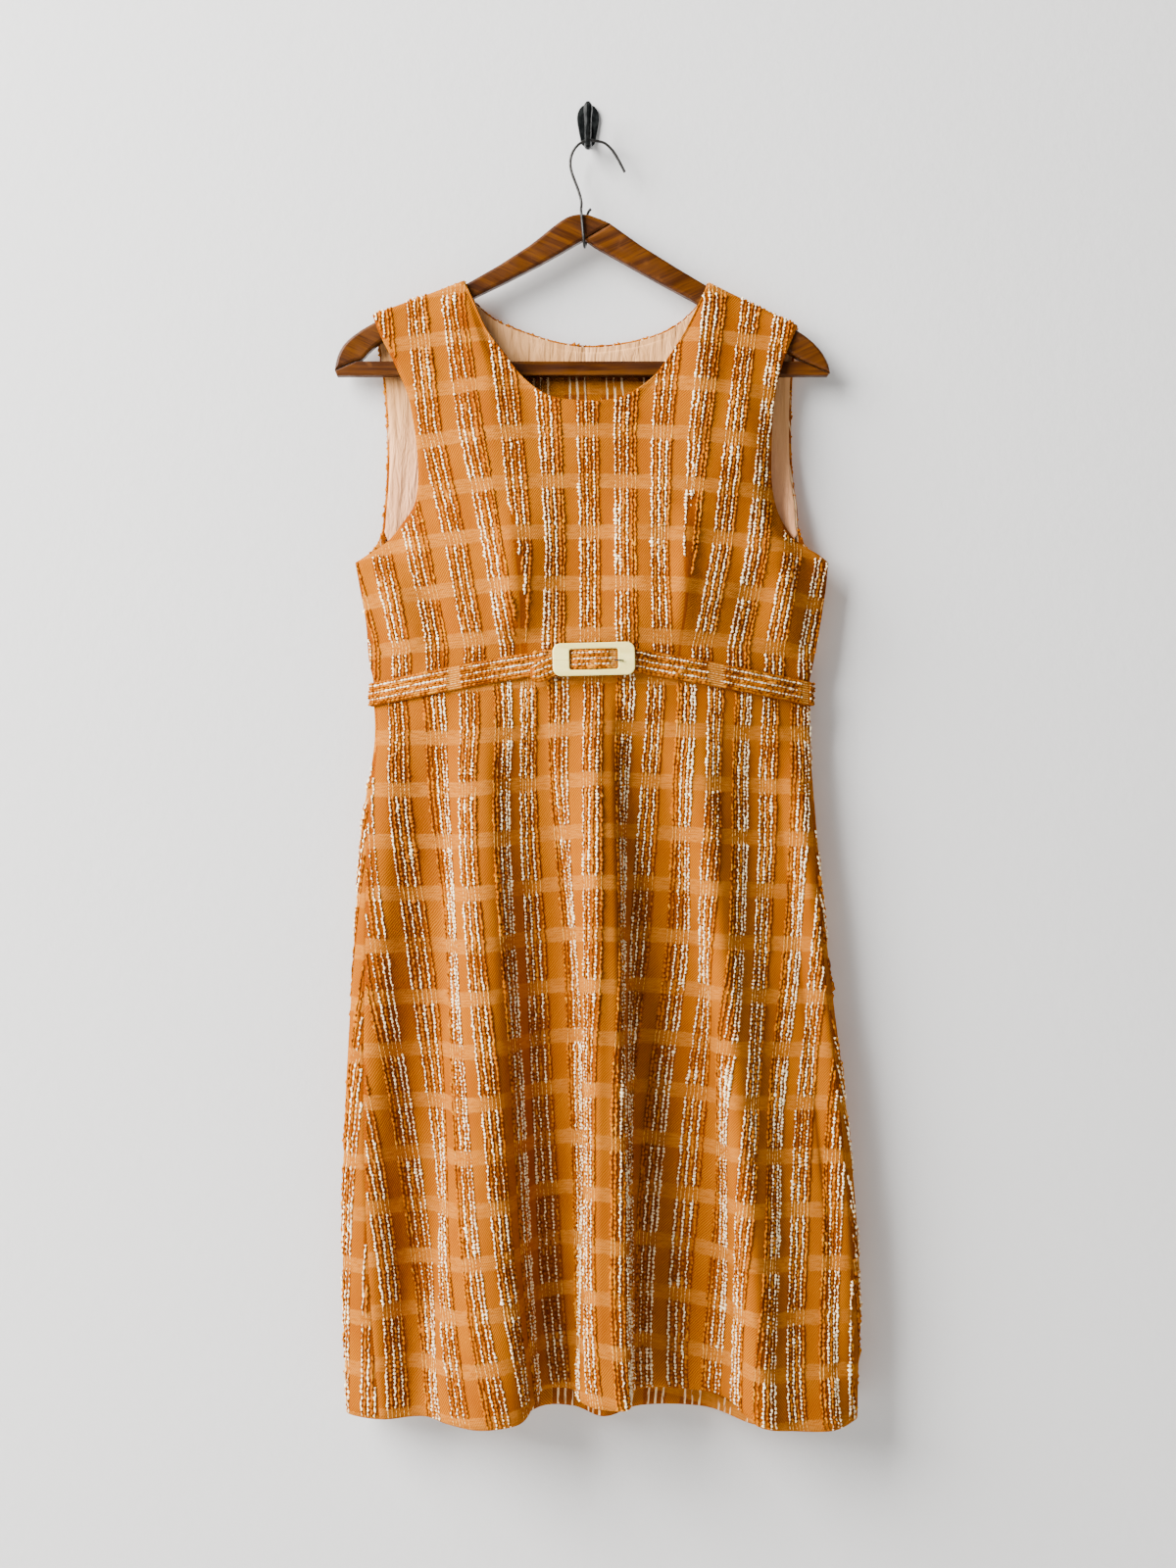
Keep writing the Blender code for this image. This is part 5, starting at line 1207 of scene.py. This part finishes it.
def boucle_cloth(name, reverse=False, belt=False):
    """Gold twill ground with ragged peach weft bands; knobbly where thick yarns lie, and dark there
    with rust and painted shade.

    On its reverse the thick yarns show as flat, broken lines.
    """
    f = Finish(name, Sheen_Weight=0.01, Sheen_Tint=tint(GOLD), Specular_IOR_Level=0.0)
    chart = f.add("UVMap", uv_map="cloth").outputs[0]
    split = f.add("SeparateXYZ", [chart])
    across = f.maths("SUBTRACT", split.outputs[0], 1.0)
    along = f.maths("SUBTRACT", split.outputs[1], 1.0)
    ragged = f.noise(chart, (420.0, 160.0, 1.0), 3.0)
    cloudy = f.noise(chart, 14.0, 3.0)
    grain = f.noise(chart, (1300.0, 900.0, 1.0), 2.0)

    slant = f.maths("SUBTRACT", f.times(across, 460.0),
                    f.times(along, 380.0))
    wander = f.times(f.noise(chart, 160.0, 2.0), 0.9)
    twill = f.maths("SINE", f.times(f.maths("ADD", slant, wander), 2 * math.pi))
    twill = f.maths("MULTIPLY_ADD", twill, 0.5, 0.5)
    twill = f.times(twill, f.ramp(grain, 0.2, 0.6, 0.55, 1.0))

    from_band = f.maths("PINGPONG", along, BAND_STEP / 2 * MM)
    from_band = f.maths("ADD", from_band, f.maths("MULTIPLY_ADD", ragged, 0.0036, -0.0018))
    band = f.ramp(from_band, 0.0056, 0.0070, 1.0, 0.0)
    band = f.times(band, f.ramp(f.noise(chart, 28.0, 2.0), 0.30, 0.50, 0.6, 1.0))
    from_group = f.maths("PINGPONG", across, REPEAT / 2 * MM)
    from_group = f.maths("ADD", from_group, f.maths("MULTIPLY_ADD", ragged, 0.003, -0.0015))
    group = 1.0 if belt else f.ramp(from_group, 0.0095, 0.0115, 1.0, 0.0)

    gold = f.mix(f.ramp(cloudy, 0.3, 0.7), GOLD, DEEP_GOLD)
    ground = f.mix(twill, TWILL_SHADE, gold)
    # inside a group the ground goes rust and dark: its own colour and painted shade between the
    # thick yarns
    gap_shade = f.mix(f.ramp(grain, 0.35, 0.6), DEEP_RUST_GAP_SHADE, RUST_GAP_SHADE)
    ground = f.mix(f.times(group, 0.5 if belt else 0.85), ground, gap_shade)
    brushed = f.noise(chart, (110.0, 850.0, 1.0), 3.0, 0.6, 0.3)
    peach = f.mix(f.ramp(f.maths("MULTIPLY_ADD", twill, 0.15, brushed), 0.42, 0.66),
                  PEACH_DEEP, PEACH)
    # a band goes deeper where a group lies: painted shade between the thick yarns
    peach = f.mix(f.times(group, 0.35), peach, PEACH_DEEP)
    colour = f.mix(f.times(band, 0.9), ground, peach)
    if reverse:
        line = f.maths("PINGPONG", f.maths("ADD", across, 0.0016), 0.0033)
        broken = f.ramp(f.noise(chart, (500.0, 60.0, 1.0), 2.0), 0.42, 0.52)
        thread = f.times(f.ramp(line, 0.0007, 0.0013, 1.0, 0.0), group)
        colour = f.mix(f.times(thread, broken), colour, REVERSE_LINE)
    f.paint(colour)
    f.dull(f.ramp(cloudy, 0.3, 0.7, 0.84, 0.93))
    height = f.maths("ADD", f.times(twill, 0.7), f.times(grain, 0.6))
    height = f.maths("ADD", height, f.times(f.times(brushed, band), 1.4))
    f.emboss(height, 0.5, 0.0006)
    return f.material


def yarn_finish(name, light, dark, fleck):
    """Fluffy cotton yarn, with painted shade in the nips between its beads; under a band it turns
    peach.
    """
    f = Finish(name, Sheen_Weight=0.02, Sheen_Tint=tint(light), Specular_IOR_Level=0.0)
    place = f.objects()
    tone = f.add("Attribute", attribute_name="tone").outputs["Fac"]
    bead = f.add("Attribute", attribute_name="bead").outputs["Fac"]
    patchy = f.noise(place, 330.0, 3.0, 0.6)
    # painted shade where a bead thins, in the nips, mixed with random patches of tone
    nip_shade_and_tone = f.maths("ADD", f.ramp(bead, 0.55, 1.15), f.maths("MULTIPLY_ADD", patchy, 1.2, -0.6))
    colour = f.mix(nip_shade_and_tone, dark, light)
    colour = f.mix(f.ramp(f.noise(place, 150.0, 3.0), 0.56, 0.66, 0.0, 0.75), colour, fleck)
    f.paint(f.mix(f.times(tone, 0.75), colour, GHOST))
    f.dull(f.ramp(patchy, 0.3, 0.7, 0.82, 0.95))
    f.emboss(f.noise(place, 1900.0, 2.0), 0.6, 0.0004)
    return f.material


def facing_finish():
    """Thin creased cotton sateen, warm cream with a pinkish cast."""
    f = Finish("facing_cotton", Sheen_Weight=0.1, Specular_IOR_Level=0.3)
    place = f.objects()
    clouds = f.noise(place, (14.0, 14.0, 6.0), 3.0)
    low = f.add("SeparateXYZ", [place]).outputs[2]
    pink = f.times(f.ramp(low, -0.24, -0.33), f.ramp(clouds, 0.35, 0.65, 0.45, 1.0))
    cream = f.mix(f.ramp(clouds, 0.3, 0.7), CREAM, CREAM_DEEP)
    streaks = f.noise(place, (240.0, 60.0, 16.0), 3.0, 0.6, 0.8)
    cream = f.mix(f.ramp(streaks, 0.45, 0.68, 0.0, 0.55), cream, CREAM_DEEP)
    f.paint(f.mix(pink, cream, PINK))
    f.dull(f.ramp(clouds, 0.3, 0.7, 0.62, 0.78))
    creases = f.noise(place, (120.0, 60.0, 22.0), 3.0, 0.55, 0.6)
    weave = f.noise(place, (1800.0, 1800.0, 1800.0), 1.0)
    soft = f.emboss(creases, 0.6, 0.006)
    f.emboss(weave, 0.15, 0.0003, soft)
    return f.material


def varnished_wood(name, slope):
    """Old stained beech under worn varnish, its grain along a board that slopes by an angle."""
    f = Finish(name, Coat_Weight=0.03, Coat_Roughness=0.3, Specular_IOR_Level=0.1)
    place = f.objects()
    along = f.scaled(place, (1.0, 1.0, 1.0), (0.0, slope, 0.0))
    grain = f.noise(along, (9.0, 160.0, 160.0), 4.0, 0.6, 0.4)
    lines = f.noise(along, (30.0, 900.0, 900.0), 3.0)
    worn = f.noise(place, 45.0, 3.0)
    wood = f.mix(f.ramp(grain, 0.32, 0.68), WOOD_DARK, WOOD_LIGHT)
    wood = f.mix(f.ramp(lines, 0.50, 0.72, 0.0, 0.6), wood, WOOD_PORE)
    f.paint(f.mix(f.ramp(worn, 0.60, 0.72, 0.0, 0.35), wood, WOOD_WORN))
    f.dull(f.ramp(worn, 0.35, 0.7, 0.36, 0.55))
    f.emboss(lines, 0.25, 0.0004)
    return f.material


def steel_finish():
    """Dull wire, almost black with age, with a few brighter spots."""
    f = Finish("dull_steel_wire", Metallic=0.35, Specular_IOR_Level=0.2)
    place = f.objects()
    spots = f.noise(place, 260.0, 3.0, 0.6)
    f.paint(f.mix(f.ramp(spots, 0.42, 0.62), STEEL, STEEL_DARK))
    f.dull(f.ramp(spots, 0.4, 0.65, 0.28, 0.5))
    f.emboss(f.noise(place, 900.0, 2.0), 0.2, 0.0003)
    return f.material


def enamel_finish():
    """Black enamel, a little greyer where it is worn."""
    f = Finish("black_enamel", Specular_IOR_Level=0.06)
    place = f.objects()
    patches = f.noise(place, 220.0, 3.0)
    f.paint(f.mix(f.ramp(patches, 0.4, 0.7), ENAMEL, ENAMEL_WORN))
    f.dull(f.ramp(patches, 0.35, 0.7, 0.22, 0.36))
    f.emboss(f.noise(place, 420.0, 2.0), 0.12, 0.0005)
    return f.material


def ivory_finish():
    """Cast ivory-coloured plastic with faint deeper streaks and a few scuffs."""
    f = Finish("ivory_plastic", Coat_Weight=0.15, Coat_Roughness=0.2, Specular_IOR_Level=0.5,
               Subsurface_Weight=0.08, Subsurface_Scale=0.002)
    place = f.objects()
    streaks = f.noise(place, (25.0, 160.0, 160.0), 3.0, 0.5, 0.5)
    scuffs = f.noise(place, 700.0, 3.0, 0.65)
    body = f.mix(f.ramp(streaks, 0.35, 0.65), IVORY, IVORY_DEEP)
    f.paint(f.mix(f.ramp(scuffs, 0.66, 0.76, 0.0, 0.35), body, IVORY_SCUFF))
    f.dull(f.ramp(scuffs, 0.4, 0.75, 0.3, 0.5))
    f.emboss(scuffs, 0.08, 0.0003)
    return f.material


def pale_finish(name, colour, see_through):
    """Painted plaster; a backdrop is clear from behind, so that it never hides the dress."""
    f = Finish(name, Roughness=0.95, Specular_IOR_Level=0.2)
    place = f.objects()
    rollers = f.noise(place, 90.0, 4.0, 0.6)
    f.paint(f.mix(rollers, tuple(c * 0.985 for c in colour), colour))
    f.emboss(rollers, 0.25, 0.0012)
    if see_through:
        behind = f.add("NewGeometry").outputs["Backfacing"]
        clear = f.add("BsdfTransparent")
        both = f.add("MixShader", [behind, f.shader.outputs[0], clear.outputs[0]])
        output = f.tree.nodes["Material Output"]
        f.tree.links.new(both.outputs[0], output.inputs["Surface"])
    return f.material


# ---------------------------------------------------------------------------- the belt

def belt_runs():
    """The belt's three stretches as (name, middle line, sideways, widths), left to right."""
    line = skirt_line(0.0, BELT_STEPS)
    side = sideways(np.roll(line, -1, axis=0) - np.roll(line, 1, axis=0))
    ring = line + side * (CLOTH / 2 + BELT_EASE + BELT / 2)
    front = (len(FRONT_FOLDS) - 1) * BELT_STEPS + 1
    number = np.arange(len(line))
    ends = [number[:front][ring[:front, 0] < BELT_SIDE_LEFT_X][-1],
            number[:front][ring[:front, 0] < BELT_LEFT_END_X][-1],
            number[:front][ring[:front, 0] > FREE_END[0].x + FREE_END_JOIN][0],
            number[:front][ring[:front, 0] > BELT_SIDE_RIGHT_X][0]]
    free = through([(strap.x, strap.y, strap.z, strap.width) for strap in FREE_END],
                   FREE_END_STEPS)[::-1]
    free_side = sideways(np.gradient(free[:, :3], axis=0))
    left, right = number[ends[0]:ends[1] + 1], number[ends[2]:ends[3] + 1]
    behind = np.concatenate([number[ends[3]:], number[:ends[0] + 1]])
    widths = np.full(len(line), BELT_WIDTH)
    return [("belt_right", np.vstack([free[:, :3], ring[right]]),
             np.vstack([free_side, side[right]]), np.concatenate([free[:, 3], widths[right]])),
            ("belt_left", ring[left], side[left], widths[left]),
            ("belt_back", ring[behind], side[behind], widths[behind])]


def sideways(along):
    """Level unit vectors square to the directions of a line that goes round from the left."""
    return unit(np.column_stack([along[:, 1], -along[:, 0], np.zeros(len(along))]))


def belt_cloth(name, run, side, widths):
    """A stretch of the belt: its rows run along it, its columns from its top edge down."""
    length = line_run(run)
    marks = np.linspace(0, length[-1], int(length[-1] / BELT_SPACING) + 2)
    run, side, widths = (sample(marks, length, part) for part in (run, side, widths))
    places = np.linspace(1, -1, BELT_COLUMNS)
    grid = run[:, None] + np.array([0, 0, 1.0]) * (places[:, None] * widths[:, None] / 2)
    normals = np.repeat(unit(side)[:, None], BELT_COLUMNS, axis=1)
    crown = BELT_CROWN * (1 - places ** 2)[:, None] - BELT_SINK
    grid = grid + normals * crown
    tilt = normals + np.array([0, 0, 1.0]) * (places ** 3 * BELT_ROLL)[:, None]
    across = np.repeat(-places[None] * BELT_WIDTH / 2, len(marks), axis=0)
    along = np.repeat(marks[:, None], BELT_COLUMNS, axis=1) + BELT_START
    cloth = Cloth(name, grid, unit(tilt), across, along)
    for edge, inside in ((0, 1), (-1, -2)):
        cloth.grid[edge] += unit(cloth.grid[inside] - cloth.grid[edge]) * GAP / 2
    return cloth


# ---------------------------------------------------------------------------- small pieces

def stand_in_scene(name, data):
    """A new object in the scene that shows a mesh, a lamp or a camera."""
    obj = bpy.data.objects.new(name, data)
    bpy.context.scene.collection.objects.link(obj)
    return obj


def finish_piece(obj, slot, *nodes):
    """Say what a visible piece rides on and which solids it takes the place of; its slot is not
    used.
    """
    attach(obj, "root")
    if nodes:
        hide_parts(*nodes)
    return obj


def panel_of(name, corners, finish):
    """A flat backdrop with four corners."""
    mesh = bpy.data.meshes.new(name)
    mesh.from_pydata(corners, [], [(0, 1, 2, 3)])
    mesh.materials.append(finish)
    return stand_in_scene(name, mesh)


def set_the_stage():
    """The wall, the floor, the light and the camera."""
    wall = panel_of("studio_wall", [(-ROOM, WALL_Y, FLOOR_Z), (ROOM, WALL_Y, FLOOR_Z),
                                    (ROOM, WALL_Y, WALL_TOP), (-ROOM, WALL_Y, WALL_TOP)],
                    pale_finish("pale_wall", WALL, True))
    floor = panel_of("studio_floor", [(-ROOM, -ROOM, FLOOR_Z), (ROOM, -ROOM, FLOOR_Z),
                                      (ROOM, ROOM, FLOOR_Z), (-ROOM, ROOM, FLOOR_Z)],
                     pale_finish("pale_floor", FLOOR, False))
    wall.visible_shadow = False
    world = bpy.data.worlds.new("Soft studio")
    world.use_nodes = True
    sky = world.node_tree.nodes["Background"].inputs
    sky["Color"].default_value, sky["Strength"].default_value = tint(SKY), AMBIENT
    bpy.context.scene.world = world
    for light in LIGHTS:
        lamp = bpy.data.lights.new(light.name, "AREA")
        lamp.size, lamp.energy, lamp.color = light.size, light.power, light.colour
        obj = stand_in_scene(light.name, lamp)
        obj.location = light.place
        towards = Vector(light.aim) - Vector(light.place)
        obj.rotation_euler = towards.to_track_quat("-Z", "Y").to_euler()
    camera = bpy.data.cameras.new("Camera")
    camera.lens, camera.sensor_width = LENS, SENSOR
    camera.clip_start, camera.clip_end = NEAR, FAR
    obj = stand_in_scene("Camera", camera)
    obj.location = EYE
    obj.rotation_euler = (math.pi / 2, 0.0, 0.0)
    bpy.context.scene.camera = obj


def under_the_belt(rise):
    """How far a yarn point is pressed flat by the belt, on the side where the seam rises so."""
    return lambda piece: ease(
        (BELT_PRESS - np.abs(piece[:, 2] - waist_z(piece[:, 0], rise))) / BELT_PRESS_FADE)


def under_the_buckle(piece):
    """How far a yarn point of the belt is pressed flat behind one of the buckle's bars."""
    bars = [ease((reach + BAR_PRESS_FADE - np.abs(piece[:, 0] - x)) / BAR_PRESS_FADE)
            for x, reach in BUCKLE_BARS]
    return np.maximum(*bars) * (piece[:, 1] < BUCKLE_Y)


def lay_cloth(cloth, thickness, face_finish, back_finish, slot):
    """The shell that takes the place of a cloth's solid, and how that cloth is cut."""
    obj = stand_in_scene(cloth.name + "_cloth", shell(cloth, thickness, face_finish, back_finish))
    return finish_piece(obj, slot, cloth.name), CUTS[cloth.name]


def spin_threads(cloth, groups, press, seed, yarns, behind=0, stand=None, base=YARN_BASE):
    """The pieces of white and of orange yarn on a cloth; each takes the next seed.

    The yarns come as the tree that spins them and the finish of each colour.
    """
    tree, finishes = yarns
    threads = []
    for seed, (colour, spin) in enumerate(SPINS.items(), seed + 1):
        lines = yarn_lines(cloth, groups, colour, spin.spacing[behind],
                           spin.stand if stand is None else stand, press,
                           np.random.default_rng(seed), base)
        made = spin_yarn(f"{cloth.name}_{colour}_yarns", tree, lines, spin, seed,
                         finishes[colour])
        threads.append(finish_piece(made, "dress_cloth"))
    return threads


def main():
    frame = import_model()
    nodes = frame["nodes"]
    set_the_stage()

    tree = yarn_tree()
    ground, reverse = boucle_cloth("boucle_cloth"), boucle_cloth("boucle_reverse", reverse=True)
    belt_ground = boucle_cloth("boucle_belt", belt=True)
    linen = facing_finish()
    finishes = {"white": yarn_finish("white_boucle_yarn", WHITE, WHITE_SHADE, WHITE_FLECK),
                "orange": yarn_finish("orange_boucle_yarn", ORANGE, ORANGE_SHADE, ORANGE_FLECK)}
    yarns = tree, finishes

    skirt, front_waist, back_waist = skirt_panels()
    bodice, facings = bodice_panels(front_waist, back_waist)
    seed = 1
    for cloth in skirt + bodice:
        seen = cloth.name.startswith("front")
        press = under_the_belt(WAIST_RISE if seen else WAIST_RISE_BACK)
        threads = spin_threads(cloth, (EVEN_GROUP, ODD_GROUP), press, seed, yarns,
                               behind=0 if seen else 1)
        seed += len(SPINS)
        if cloth.name.startswith("back_bodice"):
            lines = edge_nubs(cloth, -1 if cloth.name.endswith("left") else 0,
                              np.random.default_rng(seed))
            made = spin_yarn(cloth.name + "_edge_nubs", tree, lines, SPINS["orange"], seed,
                             finishes["orange"])
            threads.append(finish_piece(made, "dress_cloth"))
        obj, cut = lay_cloth(cloth, SHELL, ground, reverse, "dress_cloth")
    for cloth in facings:
        obj, cut = lay_cloth(cloth, FACING_SHELL, linen, linen, "facing_cloth")
    for run in belt_runs():
        cloth = belt_cloth(*run)
        threads = spin_threads(cloth, (BELT_GROUP, BELT_GROUP), under_the_buckle, seed, yarns,
                               stand=BELT_YARN_STAND, base=BELT_YARN_BASE)
        seed += len(SPINS)
        obj, cut = lay_cloth(cloth, BELT_SHELL, belt_ground, belt_ground, "dress_cloth")

    for name, finish in (("hanger_arm_left", varnished_wood("varnished_left_arm", -ARM_SLOPE)),
                         ("hanger_arm_right", varnished_wood("varnished_right_arm", ARM_SLOPE)),
                         ("hanger_bar", varnished_wood("varnished_bar", 0.0)),
                         ("hanger_wire", steel := steel_finish()),
                         ("wall_hook", enamel_finish()), ("belt_buckle", ivory_finish()),
                         ("buckle_prong", steel)):
        for slot in nodes[name].material_slots:
            slot.material = finish


main()
